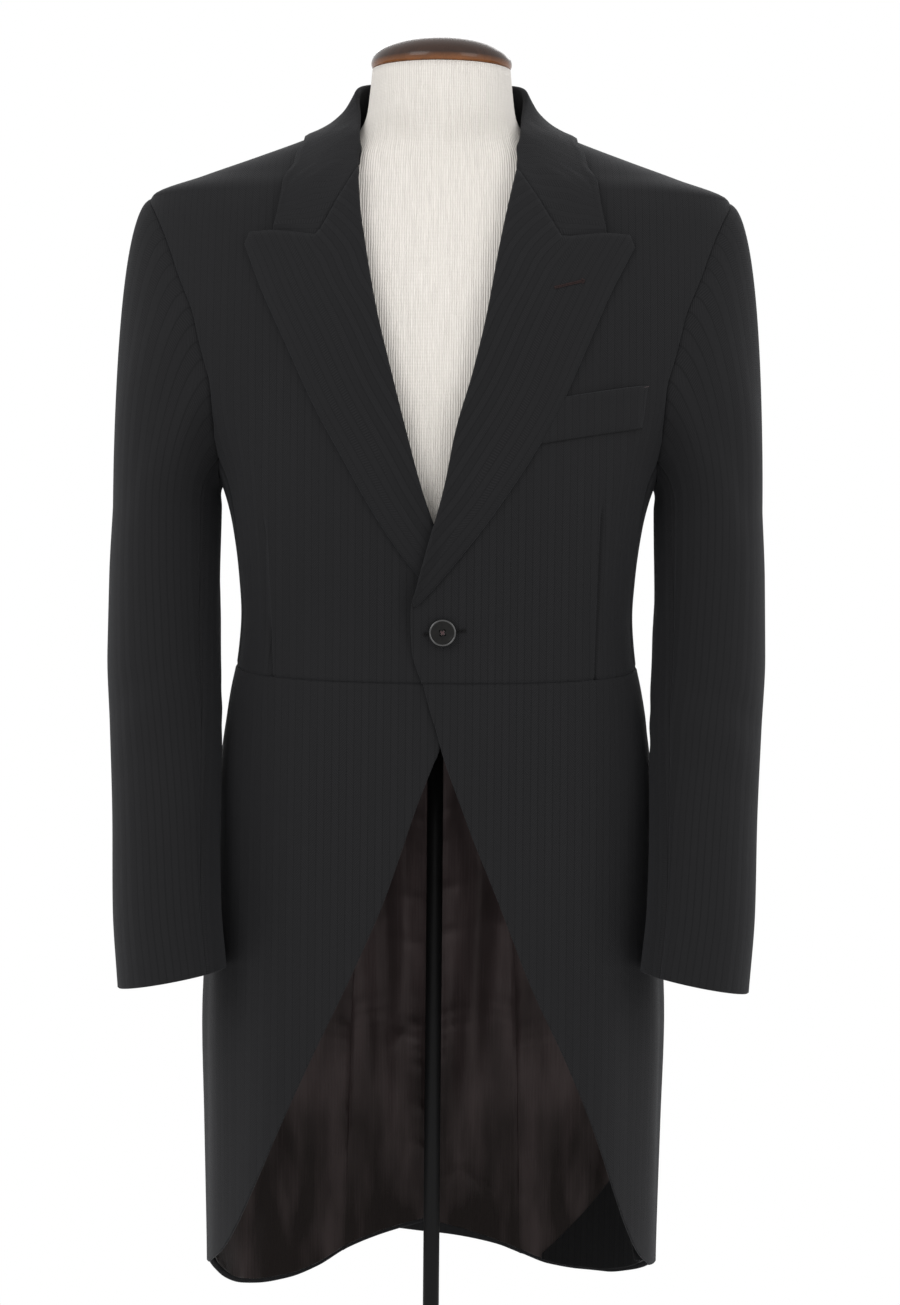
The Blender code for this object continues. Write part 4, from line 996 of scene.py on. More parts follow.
LINING_FOLDS = {
    ("skirt", 1): [
        (0.318, 0.930, 0.322, 0.560, 0.013, -0.0068),
        (0.268, 0.880, 0.282, 0.530, 0.016, -0.0080),
        (0.222, 0.820, 0.238, 0.530, 0.015, -0.0058),
        (0.340, 0.720, 0.262, 0.570, 0.007, -0.0030),
        (0.330, 0.600, 0.290, 0.530, 0.005, -0.0022),
    ],
    ("skirt", -1): [
        (0.322, 0.930, 0.330, 0.570, 0.012, -0.0066),
        (0.300, 0.800, 0.250, 0.570, 0.015, -0.0082),
        (0.228, 0.800, 0.222, 0.550, 0.015, -0.0060),
        (0.235, 0.552, 0.305, 0.560, 0.005, -0.0030),
        (0.225, 0.526, 0.285, 0.530, 0.004, -0.0024),
    ],
    ("back", 1): [
        (-0.036, 0.900, -0.032, 0.580, 0.014, -0.0085),
        (-0.004, 0.740, -0.006, 0.600, 0.006, -0.0034),
        (-0.006, 0.553, -0.026, 0.562, 0.004, -0.0036),
        (-0.026, 0.562, -0.050, 0.543, 0.004, -0.0040),
    ],
    ("back", -1): [
        (-0.026, 0.880, -0.026, 0.590, 0.014, -0.0085),
        (-0.052, 0.860, -0.046, 0.570, 0.006, -0.0022),
        (-0.004, 0.690, -0.034, 0.672, 0.006, -0.0034),
    ],
}
PUCKERS = [
    (0.905, 0.010, 0.0008), (0.862, 0.014, 0.0010), (0.834, 0.012, 0.0012), (0.822, 0.009, 0.0009),
    (0.795, 0.024, 0.0016), (0.786, 0.012, 0.0010), (0.757, 0.028, 0.0015), (0.748, 0.010, 0.0008),
    (0.712, 0.012, 0.0009), (0.688, 0.030, 0.0018), (0.677, 0.034, 0.0020), (0.666, 0.020, 0.0014),
    (0.654, 0.015, 0.0012), (0.618, 0.012, 0.0009), (0.584, 0.014, 0.0011), (0.546, 0.012, 0.0009),
]


def puckers(from_edge, height, shift):
    """Short creases that run in from a hand-sewn edge, each with its reach and depth."""
    total = 0.0
    for level, reach, depth in PUCKERS:
        wave = swell(height - level - shift - from_edge * 0.25, 0.0042)
        total = total - 1.5 * depth * wave * swell(from_edge, reach)
    return total


def lining_panel(kind, side, coarse):
    grid = threaded(coarse, FINE_STEP, on_left)
    degrees, height = grid[..., 0], grid[..., 1]
    spots = on_left(degrees, height)
    grain = front_grain if kind == "skirt" else back_grain
    far = from_borders(spots)
    across_lining = grain(degrees, height)[..., 0]
    free = ease(far["low"] / HEM_HOLD)
    out = creases(LINING_FOLDS[kind, side], across_lining, height) * free
    out = out - 0.0014 * np.sin(across_lining * 95 + height * 14 + side) ** 2 * free
    out = out - 0.0010 * (0.5 + 0.5 * np.sin(across_lining * 330 + side)) * swell(far["low"], 0.010)
    if kind == "back":
        out = out + puckers(far["last"], height, 0.004 * side)
        out = out + puckers(far["first"], height, 0.013) * 0.5
    else:
        out = out + puckers(far["last"], height, -0.006) * 0.6
    out = out * ease(np.minimum(far["first"], far["last"]) / 0.006 + 0.25)
    panel("lining_%s_panel_%s" % (kind, NAMES[side]), side, grid, out, grain, ("low", "first", "last"),
          "satin", satin, ["lining_%s_%s" % (kind, NAMES[side])],
          CLOTH + LINING_GAP, LINING)


def above_hem(rows):
    """The rows a lining follows: from just above the hem to well under the waist seam."""
    lowest = [between(hem, above, 0.35) for hem, above in zip(rows[0], rows[1])]
    return [lowest] + rows[1:-2]


for side in (1, -1):
    lining_panel("skirt", side, [row[2:] for row in above_hem(skirt_rows(side))])
    lining_panel("back", side, above_hem(tail_rows(side)[::-1]))


# ---- Skirt facing --------------------------------------------------------------------------------
# Inside the wearer's left skirt the wool is faced with itself along the hem, in a wedge that
# widens to the front edge. Its tones are set darker as painted shade; the lining is felled to it.
FACING_THICK = 0.0015
FACING_DEPTH = 0.0065   # from the skirt's right side in to the facing
FACING_INSET = 0.003    # from the skirt's edge and hem
FACING_BACK = 152.0     # the angle where the wedge ends
FACING_FOOT = 0.515     # its front end starts at this height
FACING_RISE = 0.175     # and goes up this far
FACING_TIP = 0.490      # its top line's height one degree past the wedge's end
FACING_SLOPE = 0.00262  # and what it gains with each degree towards the front
# The facing's wool is a darker copy of the coat's herringbone: painted shade for the inside of the tails.
facing_wool_painted_shade = herringbone("facing_wool_painted_shade", 0.032, (0.0034, 0.0034, 0.0036, 1), (0.0104, 0.0102, 0.0104, 1))
grid = []
for rise in (0.0, 0.35, 0.7, 1.0):
    row = []
    for share in np.linspace(0, 1, 13):
        front_height = FACING_FOOT + FACING_RISE * rise
        angle = mix(moved(edge_angle(1, front_height), front_height, FACING_INSET), FACING_BACK, share)
        low = float(HEM.at(angle, "left")) + FACING_INSET
        high = FACING_TIP + (FACING_BACK + 1 - angle) * FACING_SLOPE
        row.append((angle, mix(low, max(high, low + 0.004), rise)))
    grid.append(row)
grid = threaded(grid, FINE_STEP, on_left)
panel("skirt_facing_panel", 1, grid, np.zeros(grid.shape[:2]), front_grain, ("low", "high", "first", "last"),
      "wool", facing_wool_painted_shade, ["facing_skirt_left"], FACING_DEPTH, FACING_THICK)


# ---- Lapels --------------------------------------------------------------------------------------
# Peak lapels: the front's facing, turned back over a soft roll and padded to lie close.
# The ribs run along the outer edge, and the peak stands up beside the collar's end.
LAPEL_REST = 0.0017
LAPEL_STAND = 0.0024
LAPEL_PUFF = 0.0016
LAPEL_STEP = 0.0035
LAPEL = Table("row roll_height edge_height left right", [
    (0, 1.300, 1.285, 0.1348, 0.1390),
    (1, 1.260, 1.233, 0.1121, 0.1150),
    (2, 1.215, 1.190, 0.0933, 0.0948),
    (3, 1.170, 1.147, 0.0695, 0.0711),
    (4, 1.125, 1.112, 0.0460, 0.0512),
    (5, 1.090, 1.080, 0.0220, 0.0303),
    (6, 1.060, 1.055, 0.0018, 0.0100),
    (7, 1.036, 1.036, -0.0155, -0.0110),
])
LAPEL_SHARES = (0.0, 0.11, 0.22, 0.33, 0.44, 0.56, 0.68, 0.80, 0.95, 1.0)
GORGE_STEPS = 4
CLOSE_STEPS = 3
GORGE_END = (0.0950, 1.3230)
NOTCH_CORNER = (0.1290, 1.3279)      # the peak's edge falls away from the collar's end
PEAK_SHOULDER = (0.1480, 1.3268)
PEAK_TIP = (0.1522, 1.3190)
NOTCH_START = 0.045     # from the roll, along the gorge
ROLL_TOP = 1.381
ROLL_STEPS = 7


def lapel_rows(side):
    """Rows of x and height across the lapel, from the gorge down to the break."""
    name = NAMES[side]
    roll_top = (float(FRONT_EDGE.at(ROLL_TOP, name)), ROLL_TOP)
    top = [between(roll_top, GORGE_END, k / GORGE_STEPS) for k in range(GORGE_STEPS)]
    top += [between(GORGE_END, NOTCH_CORNER, k / CLOSE_STEPS) for k in range(CLOSE_STEPS)]
    top += [NOTCH_CORNER, PEAK_SHOULDER, PEAK_TIP]
    plain = []
    for step in LAPEL.columns[0]:
        keys = ("roll_height", "edge_height", name)
        roll_height, edge_height, edge_x = (float(LAPEL.at(step, key)) for key in keys)
        roll = (float(FRONT_EDGE.at(roll_height, name)), roll_height)
        plain.append([between(roll, (edge_x, edge_height), share) for share in LAPEL_SHARES])
    rows = [top]
    for share in (0.25, 0.5, 0.75):
        row = [between(p, q, share) for p, q in zip(top, plain[0])]
        row[0] = (float(FRONT_EDGE.at(row[0][1], name)), row[0][1])
        rows.append(row)
    return rows + plain


def front_place(side, x, height, out=0.0):
    return cloth_point(side, angle_at(x, height), height, out)


def gorge_dip(across, from_gorge):
    """How deep collar and lapel are pressed where they meet: most where the notch opens."""
    return 0.0006 * (1 + ease((across - NOTCH_START) / 0.01)) * swell(from_gorge, 0.0022)


def rolled_over(outer, inner, uv, radius, out_of_cloth, run):
    """The cloth carried on round its roll and in under the panel it folds from; run is how
    far the pattern goes on."""
    faces = []
    for face, reach in ((outer, radius), (inner, radius - CLOTH * 0.9)):
        away = unit(face[:, 0] - face[:, 1])
        turned_out = unit(out_of_cloth - (out_of_cloth * away).sum(axis=1, keepdims=True) * away)
        columns = []
        for turn in np.linspace(math.pi, 0, ROLL_STEPS, endpoint=False):
            ring = away * math.sin(turn) + turned_out * (math.cos(turn) - 1)
            columns.append(face[:, 0] + ring * reach[:, None])
        faces.append(np.concatenate([np.stack(columns, axis=1), face], axis=1))
    before = np.linspace(1, 0, ROLL_STEPS, endpoint=False)[:, None] * run
    return faces[0], faces[1], np.concatenate([uv[:, :1] + before, uv], axis=1)


for side in (1, -1):
    grid = threaded(lapel_rows(side), LAPEL_STEP, lambda x, z: front_place(1, x, z), straight=True)
    x, height = grid[..., 0], grid[..., 1]
    spots = front_place(1, x, height)
    far = from_borders(spots)
    share = far["first"] / (far["first"] + far["last"])
    row_share = far["low"] / (far["low"] + far["high"])
    rise = LAPEL_STAND * share + LAPEL_PUFF * np.sin(math.pi * share ** 0.6)
    out = LAPEL_REST + rise * (1 - row_share)
    out = out - gorge_dip(far["first"], far["low"])
    out = out + 0.0005 * swell(far["last"] - 0.007, 0.003)
    out = out - (out - 0.0006) * 0.85 * swell(far["last"], 0.006)
    outer = front_place(side, x, height, out + CLOTH)
    inner = front_place(side, x, height, out)
    uv = np.stack([far["last"], far["low"]], axis=-1)
    degrees = angle_at(x[:, 0], height[:, 0])
    normal = ring_normal(BODY, degrees, height[:, 0]) * (side, 1, 1)
    radius = (out[:, 0] + 2 * CLOTH) / 2 * (0.25 + 0.75 * ease(far["high"][:, 0] / 0.06))
    outer, inner, uv = rolled_over(outer, inner, uv, radius, normal, (math.pi * 0.0025, 0))
    piece = shell("lapel_panel_" + NAMES[side], outer, inner, uv, wool, ("last", "low"))
    sewn(piece, outer, "wool", ["lapel_" + NAMES[side]])


# ---- Collar --------------------------------------------------------------------------------------
# The stand rises from the neck seam, and the fall turns over it and lies on the shoulders.
# Its ends are sewn to the lapels along the gorge, then part from them at the notch.
FALL_REST = 0.0010
FALL_BRIDGE = 0.3       # how far the fall keeps straight between roll and edge
FALL_LEAN = 0.8
COLLAR_ROLL = 0.0022
COLLAR = Table("roll_angle edge_angle edge_height", [
    (20.5, 31.7, 1.3297), (24.0, 31.3, 1.3500), (30.0, 32.6, 1.3720), (42.0, 43.3, 1.3940),
    (60.0, 58.5, 1.4090), (80.0, 79.0, 1.4155), (100.0, 100.0, 1.4175), (125.0, 125.0, 1.4165),
    (150.0, 150.0, 1.4150), (180.0, 180.0, 1.4140),
])
COLLAR_TURNS = (20.5, 22.0, 25, 30, 36, 45, 56, 70, 85, 100, 120, 140, 160, 180)


def fall_row(side, turn):
    """One line of the fall, from its roll to its outer edge."""
    count = GORGE_STEPS + CLOSE_STEPS
    across = np.arange(count + 1) / count
    roll = (turn, float(NECK.at(turn, "roll")))
    edge = (float(COLLAR.at(turn, "edge_angle")), float(COLLAR.at(turn, "edge_height")))
    settle = min((turn - COLLAR_TURNS[0]) / 40.0, 1.0)
    if turn == COLLAR_TURNS[0]:
        line = np.array(lapel_rows(side)[0][:count + 1])
        height = line[:, 1] + 0.0004
        degrees = angle_at(line[:, 0], height)
    else:
        degrees = mix(turn, edge[0], across) - side * FALL_LEAN * (1 - settle) * (1 - across)
        height = mix(roll[1], edge[1], across)
    on_lapel = LAPEL_REST + LAPEL_STAND * np.array(LAPEL_SHARES[:count + 1])
    near = cloth_point(side, degrees, height, mix(on_lapel, FALL_REST, settle) + CLOTH)
    start = cloth_point(1, *roll, 0.0009)
    end = cloth_point(1, *edge, 0.0012)
    lean = unit(mix(ring_normal(BODY, *roll), ring_normal(BODY, *edge), across[:, None]))
    bridge = mix(start, end, across[:, None]) + lean * CLOTH
    return mix(near, bridge * (side, 1, 1), settle * FALL_BRIDGE)


def fine_points(coarse, step):
    """A fine grid of places run smoothly through a coarse one."""
    for axis in (0, 1):
        gaps = np.linalg.norm(np.diff(coarse, axis=axis), axis=2).mean(axis=1 - axis)
        knots = np.concatenate([[0], np.cumsum(gaps)])
        coarse = np.moveaxis(read(knots, np.moveaxis(coarse, axis, 0), spaced(knots[-1], step)), 0, axis)
    return coarse


coarse = [fall_row(1, turn) for turn in COLLAR_TURNS] + [fall_row(-1, turn) for turn in COLLAR_TURNS[-2::-1]]
outer = fine_points(np.array(coarse), LAPEL_STEP)
normal = unit(np.cross(np.gradient(outer, axis=1), np.gradient(outer, axis=0)))
outward = np.sign((normal[..., 2] + normal[..., 1] * np.sign(outer[..., 1] - 0.02)).mean())
normal = normal * outward
far = from_borders(outer)
ends = np.minimum(far["low"], far["high"])
pressed = 0.0005 * swell(far["last"] - 0.005, 0.003) - gorge_dip(far["first"], ends)
outer = outer + normal * pressed[..., None]
inner = outer - normal * CLOTH
half_way = outer.shape[1] // 2
middle_line = far["low"][:, half_way, None]
level = outer[..., 2] - outer[:, half_way, None, 2]
level = level * np.sign(middle_line.max() / 2 - middle_line) * ease((0.075 - ends) / 0.06)
uv = np.stack([middle_line + level, far["first"]], axis=-1)
radius = np.full(outer.shape[0], COLLAR_ROLL)
outer, inner, uv = rolled_over(outer, inner, uv, radius, normal[:, 0], (0, -math.pi * COLLAR_ROLL))
piece = shell("collar_fall_panel", outer, inner, uv, wool, ("low", "high", "last"))
sewn(piece, outer, "wool", ["collar_fall"])

STAND_COLUMNS = 90
turns = np.linspace(COLLAR_TURNS[0], COLLAR_TURNS[-1], STAND_COLUMNS)
turns = np.concatenate([turns, turns[-2::-1]])
sides = np.where(np.arange(len(turns)) < STAND_COLUMNS, 1, -1)
heights = mix(NECK.at(turns, "seam")[:, None], NECK.at(turns, "roll")[:, None], np.linspace(0, 1, 12))
mirror = np.stack([sides, np.ones(len(turns)), np.ones(len(turns))], axis=-1)[:, None, :]
faces_of_stand = []
for out in (0.0, -CLOTH):
    faces_of_stand.append(cloth_point(1, turns[:, None], heights, np.full(heights.shape, out)) * mirror)
around = np.concatenate([[0], np.cumsum(np.linalg.norm(np.diff(faces_of_stand[0][:, 0], axis=0), axis=1))])
uv = np.stack([np.broadcast_to(around[:, None], heights.shape), heights], axis=-1)
piece = shell("collar_stand_panel", *faces_of_stand, uv, wool, ("last",))
sewn(piece, faces_of_stand[0], "wool", ["collar_stand"])


# ---- Breast welt ---------------------------------------------------------------------------------
# A stiffened strip stands over the pocket mouth on the wearer's left. It runs in under the
# lapel and is stitched down at its outer end.
WELT = ((0.0765, 1.1600, 1.1950), (0.1637, 1.1772, 1.2096))     # x, foot and top of each end
WELT_LEAN = 0.004
welt_shares, rises = np.meshgrid(np.linspace(0, 1, 30), np.linspace(0, 1, 14), indexing="ij")
x, low, high = (mix(a, b, welt_shares) for a, b in zip(*WELT))
x = x - WELT_LEAN * (1 - rises) + 0.010 * rises * (1 - welt_shares)
height = mix(low, high, rises)
spots = front_place(1, x, height)
far = from_borders(spots)
puff = 0.0012 - 0.0009 * swell(far["first"], 0.003)
puff = puff + 0.0004 * swell(far["last"] - 0.003, 0.003)
stand = 0.0004 + (puff + 0.0008) * ease(far["high"] / 0.012 + 0.1)
faces_of_welt = [front_place(1, x, height, out) for out in (stand, 0 * stand + 0.0001)]
uv = np.stack([x, height], axis=-1)
piece = shell("pocket_welt_panel", *faces_of_welt, uv, wool, ("first", "last", "high"))
sewn(piece, faces_of_welt[0], "wool", ["pocket_welt"])


# ---- Sleeves -------------------------------------------------------------------------------------
# Each sleeve is a top and an under piece, set into the armhole with a little fullness over
# the shoulder. The arm hangs forward, and the cuff is turned in.
SLEEVE = Table("height outer inner middle half_depth tilt", [
    (0.744, 0.2475, 0.1625, -0.074, 0.0505, -0.19),
    (0.800, 0.2530, 0.1680, -0.062, 0.0530, -0.08),
    (0.870, 0.2555, 0.1700, -0.047, 0.0560, 0.0),
    (0.940, 0.2595, 0.1700, -0.032, 0.0600, 0.0),
    (1.000, 0.2633, 0.1728, -0.018, 0.0640, 0.0),
    (1.060, 0.2635, 0.1740, -0.006, 0.0680, 0.0),
    (1.115, 0.2620, 0.1745, 0.004, 0.0710, 0.0),
])
SLEEVE_HEAD = 0.075
SLEEVE_DROP = 0.25
SLEEVE_TUCK = 0.0014    # how far the head is set in under the armhole's edge
SLEEVE_DIP = 0.0011
HEAD_ROWS = 56
ARM_ROWS = 84
SLEEVE_CREASES = {
    "top": [
        (-0.105, 0.985, -0.040, 0.955, 0.010, -0.0016),
        (-0.110, 0.955, -0.055, 0.938, 0.009, 0.0011),
        (-0.108, 0.925, -0.048, 0.905, 0.011, -0.0013),
        (0.030, 1.190, 0.075, 1.120, 0.014, -0.0013),
        (-0.085, 1.200, -0.060, 1.110, 0.013, -0.0015),
        (-0.060, 1.240, -0.035, 1.150, 0.015, 0.0011),
        (0.040, 0.880, 0.050, 0.780, 0.016, 0.0010),
    ],
    "under": [
        (-0.050, 0.975, 0.010, 0.960, 0.010, -0.0016),
        (-0.040, 0.940, 0.015, 0.935, 0.010, -0.0013),
        (-0.010, 1.110, 0.010, 1.040, 0.012, -0.0016),
    ],
}


def sleeve_ring(turn, height):
    outer, inner, middle, depth, tilt = (SLEEVE.at(height, name) for name in SLEEVE.names[1:])
    centre = (outer + inner) / 2
    x = centre - (outer - inner) / 2 * np.cos(np.radians(turn))
    y = middle - depth * np.sin(np.radians(turn))
    return np.stack([x, y, height + tilt * (x - centre)], axis=-1)


def sleeve_head(turn, level):
    """Places over the sleeve head: level 0 is the armhole, and 1 the first ring of the arm."""
    start = ring_point(BODY, ARMHOLE.at(turn, "angle"), ARMHOLE.at(turn, "height"))
    start = start - (SLEEVE_TUCK, 0, 0)
    end = sleeve_ring(turn, np.full(np.shape(turn), SLEEVE.columns[0][-1]))
    spring = (1 - np.cos(np.radians(turn))) / 2
    none = 0 * spring
    leave = np.stack([mix(0.012, SLEEVE_HEAD, spring), none, -0.03 * (1 - spring)], axis=-1)
    arrive = np.stack([none, none, -mix(0.03, SLEEVE_DROP, spring)], axis=-1)
    t = level[..., None]
    place = start * ((1 + 2 * t) * (1 - t) ** 2) + leave * (t * (1 - t) ** 2)
    return place + end * (t * t * (3 - 2 * t)) + arrive * (t * t * (t - 1))


def sleeve_places(turns):
    """Rows of places from the armhole to the cuff."""
    head_turn, level = np.meshgrid(turns, np.linspace(0, 1, HEAD_ROWS) ** 1.15)
    heights = np.linspace(SLEEVE.columns[0][-1], SLEEVE.columns[0][0], ARM_ROWS)[1:]
    heights = np.concatenate([heights[:-1], heights[-1] + np.array([0.0024, 0.0009, 0.0])])
    arm_turn, height = np.meshgrid(turns, heights)
    return np.concatenate([sleeve_head(head_turn % 360, level), sleeve_ring(arm_turn, height)])


SLEEVE_PARTS = {"top": (45.0, 295.0, 180.0, 84), "under": (295.0, 405.0, 350.0, 40)}
for side in (1, -1):
    for part, (first, last, middle, count) in SLEEVE_PARTS.items():
        turns = np.linspace(first, last, count)
        turns = np.sort(np.concatenate([turns, [first + 0.7, first + 1.8, last - 1.8, last - 0.7]]))
        spots = sleeve_places(turns)
        centre = int(np.argmin(np.abs(turns - middle)))
        far = from_borders(spots)
        normal = unit(np.cross(np.gradient(spots, axis=1), np.gradient(spots, axis=0)))
        level_way = unit(np.cross((0, 0, 1), normal))
        steps = (np.diff(spots, axis=1) * (level_way[:, 1:] + level_way[:, :-1]) / 2).sum(axis=2)
        across_sleeve = np.concatenate([np.zeros((len(spots), 1)), np.cumsum(steps, axis=1)], axis=1)
        across_sleeve = across_sleeve - across_sleeve[:, centre:centre + 1]
        across_sleeve = across_sleeve * np.sign(across_sleeve[-1, -1])
        across_sleeve[:HEAD_ROWS] = across_sleeve[HEAD_ROWS]        # the ribs run on up over the head
        out = seam_dip(spots, ("first", "last"), SLEEVE_DIP, 0.0013)
        spring = (1 - np.cos(np.radians(turns))) / 2
        out = out - SLEEVE_DIP * (1 - 0.7 * spring) * swell(far["low"], 0.0022)
        height = spots[..., 2] + 0.006 * side        # the two arms crease a little differently
        out = out + creases(SLEEVE_CREASES[part], across_sleeve, height) * (1 + 0.2 * side)
        outward = np.sign((normal * (spots - spots.mean(axis=1, keepdims=True))).sum(axis=2).mean())
        outer = (spots + normal * out[..., None] * outward) * (side, 1, 1)
        inner = (spots + normal * (out - CLOTH)[..., None] * outward) * (side, 1, 1)
        uv = np.stack([across_sleeve, -far["low"]], axis=-1)
        piece = shell("sleeve_%s_panel_%s" % (part, NAMES[side]), outer, inner, uv, wool, ("high",))
        sewn(piece, outer, "wool", ["sleeve_%s_%s" % (part, NAMES[side])])


# ---- Buttons -------------------------------------------------------------------------------------
# Polished dark horn, turned with a raised rim and a dished face, with four holes. One closes
# the front and two sit at the top of the back pleats. Each is sewn on with a crossed thread.
horn = Finish("polished_horn", Specular_IOR_Level=0.12, Coat_Weight=0.05, Coat_Roughness=0.06)
streak = horn.noise(1.0, 4, stretch=(260, 120, 160))
horn.feed(Base_Color=horn.blend(streak, (0.0025, 0.0027, 0.0027, 1), (0.010, 0.0095, 0.0090, 1)))
horn.feed(Roughness=streak * 0.12 + 0.16)
horn.bump(streak, 0.00005)
rim_horn = Finish("rim_horn", Coat_Weight=1.0, Coat_Roughness=0.03, Specular_IOR_Level=0.4)
rim_streak = rim_horn.noise(1.0, 3, stretch=(300, 300, 300))
rim_horn.feed(Base_Color=rim_horn.blend(rim_streak, (0.004, 0.004, 0.004, 1), (0.014, 0.0138, 0.0135, 1)))
rim_horn.feed(Roughness=rim_streak * 0.1 + 0.03)
twist = Finish("button_thread", Roughness=0.8, Sheen_Weight=0.2)
fuzz = twist.noise(1600, 2)
twist.feed(Base_Color=twist.blend(fuzz, (0.018, 0.0065, 0.0075, 1), (0.065, 0.026, 0.028, 1)))
twist.bump(fuzz, 0.0001)
BUTTON_RADIUS = 0.0107
HOLE_RADIUS = 0.0011
HOLE_REACH = 0.0021
BUTTON_PROFILE = [(0.70, 0.0), (0.90, 0.0008), (0.965, 0.0019), (0.945, 0.0030), (0.80, 0.0031),
                  (0.70, 0.0027), (0.50, 0.0024), (0.25, 0.0023), (0.08, 0.0023)]
RIM_BEAD = 0.0008
RIM_TURNS, BEAD_TURNS = 96, 18
STRAND_RADIUS = 0.00036
STRAND_GAP = 0.00033
STRAND_RINGS, STRAND_TURNS = 13, 8
BUTTON_TILT = math.radians(8)


def placed(piece, centre, normal, tilt=0.0):
    """Bakes a button's place into its mesh: face to the normal, turned by the tilt."""
    z = unit(np.asarray(normal, float))
    x = unit(np.cross((0, 0, 1), z))
    y = np.cross(z, x)
    turn = np.array([[math.cos(tilt), -math.sin(tilt), 0], [math.sin(tilt), math.cos(tilt), 0], [0, 0, 1]])
    spots = np.empty(len(piece.data.vertices) * 3)
    piece.data.vertices.foreach_get("co", spots)
    spots = spots.reshape(-1, 3) @ turn.T @ np.stack([x, y, z]) + np.asarray(centre)
    piece.data.vertices.foreach_set("co", spots.ravel())
    piece.data.update()
    return piece


def sew_button(name, centre, normal, node):
    r = BUTTON_RADIUS
    profile = [(r * share, height) for share, height in BUTTON_PROFILE]
    body = turned(name, profile, horn, 72)
    cutters = []
    for k in range(4):
        turn = math.pi / 4 + k * math.pi / 2
        spot = (HOLE_REACH * math.cos(turn), HOLE_REACH * math.sin(turn))
        cutters.append(turned("hole", [(HOLE_RADIUS, -0.001), (HOLE_RADIUS, 0.005)], horn, 20, centre=spot))
    for cutter in cutters:
        cut = body.modifiers.new("hole", "BOOLEAN")
        cut.operation = "DIFFERENCE"
        cut.object = cutter
    solid = bpy.data.meshes.new_from_object(body.evaluated_get(bpy.context.evaluated_depsgraph_get()))
    body.modifiers.clear()
    body.data = solid
    for cutter in cutters:
        bpy.data.objects.remove(cutter)
    solid.set_sharp_from_angle(angle=math.radians(50))
    belongs(placed(body, centre, normal, BUTTON_TILT), "horn", node)
    middle = r * 0.975 - RIM_BEAD
    bead = [(middle + RIM_BEAD * math.cos(t), 0.0026 + RIM_BEAD * math.sin(t)) for t in
            np.linspace(-math.pi / 2, math.pi * 1.5, BEAD_TURNS, endpoint=False)]
    spin = np.arange(RIM_TURNS) * 2 * math.pi / RIM_TURNS
    points = [(q * math.cos(t), q * math.sin(t), z) for t in spin for q, z in bead]
    faces = []
    for k in range(0, len(points), BEAD_TURNS):
        for m in range(BEAD_TURNS):
            a, b = k + m, k + (m + 1) % BEAD_TURNS
            faces.append((a, b, (b + BEAD_TURNS) % len(points), (a + BEAD_TURNS) % len(points)))
    belongs(placed(mesh_piece(name + "_rim", points, faces, rim_horn), centre, normal), "horn")
    points, faces = [], []
    quarter = math.pi / 4
    for turn, beside in ((quarter, -1), (quarter, 1), (3 * quarter, -1), (3 * quarter, 1)):
        along_strand = np.array([math.cos(turn), math.sin(turn), 0])
        over = np.array([-math.sin(turn), math.cos(turn), 0])
        base = len(points)
        for step in np.linspace(-1, 1, STRAND_RINGS):
            lift = 0.0029 + 0.0004 * (1 - step * step) - 0.0080 * max(abs(step) - 0.8, 0)
            centre_line = along_strand * step * HOLE_REACH + over * beside * STRAND_GAP + (0, 0, lift)
            for k in range(STRAND_TURNS):
                around_strand = k * 2 * math.pi / STRAND_TURNS
                ring = over * math.cos(around_strand) + np.array([0, 0, 1]) * math.sin(around_strand)
                points.append(centre_line + ring * STRAND_RADIUS)
        last = len(points) - STRAND_TURNS
        for low in range(base, last, STRAND_TURNS):
            for k in range(STRAND_TURNS):
                a, b = low + k, low + (k + 1) % STRAND_TURNS
                faces.append((a, b, b + STRAND_TURNS, a + STRAND_TURNS))
        faces.append(tuple(range(base, base + STRAND_TURNS)))
        faces.append(tuple(range(last, last + STRAND_TURNS)))
    belongs(placed(mesh_piece(name + "_thread", points, faces, twist), centre, normal, BUTTON_TILT), "horn")


button_x, button_height = 0.0050, 1.0156
button_turn = float(angle_at(button_x, button_height))
button_normal = ring_normal(BODY, button_turn, button_height)
sew_button("front_button", cloth_point(1, button_turn, button_height, 0.0012), button_normal, "button_front")
for side in (1, -1):
    level = float(waist(PLEAT_WAIST_ANGLE)) + 0.006
    normal = ring_normal(BODY, PLEAT_WAIST_ANGLE, level) * (side, 1, 1)
    sew_button("back_button_" + NAMES[side], cloth_point(side, PLEAT_WAIST_ANGLE, level, 0.0008), normal,
               "button_back_" + NAMES[side])


# ---- Buttonholes and hand stitches ---------------------------------------------------------------
# The buttonholes are cut and bound with close silk stitches: black at the front, red brown
# on the lapel, which has a round eye at its outer end. Small stitches hold the welt; along its
# foot they run end to end in black as a painted shadow line.
def silk(name, dark, light, raised, **shine):
    """Twisted silk thread, with its two shades and how much its twist stands up."""
    thread = Finish(name, **shine)
    shade = thread.noise(1500, 2)
    thread.feed(Base_Color=thread.blend(shade, dark, light))
    if raised:
        thread.bump(shade, raised)
    return thread


black_silk = silk("black_silk", (0.0025, 0.0025, 0.0027, 1), (0.0095, 0.0090, 0.0092, 1), 0.00008,
                  Roughness=0.6, Specular_IOR_Level=0.12)
brown_silk = silk("brown_silk", (0.010, 0.005, 0.005, 1), (0.030, 0.013, 0.012, 1), 0.00008,
                  Roughness=0.55, Specular_IOR_Level=0.2)
pocket_silk = silk("pocket_silk", (0.060, 0.040, 0.042, 1), (0.12, 0.085, 0.088, 1), 0,
                   Roughness=0.5, Specular_IOR_Level=0.3)


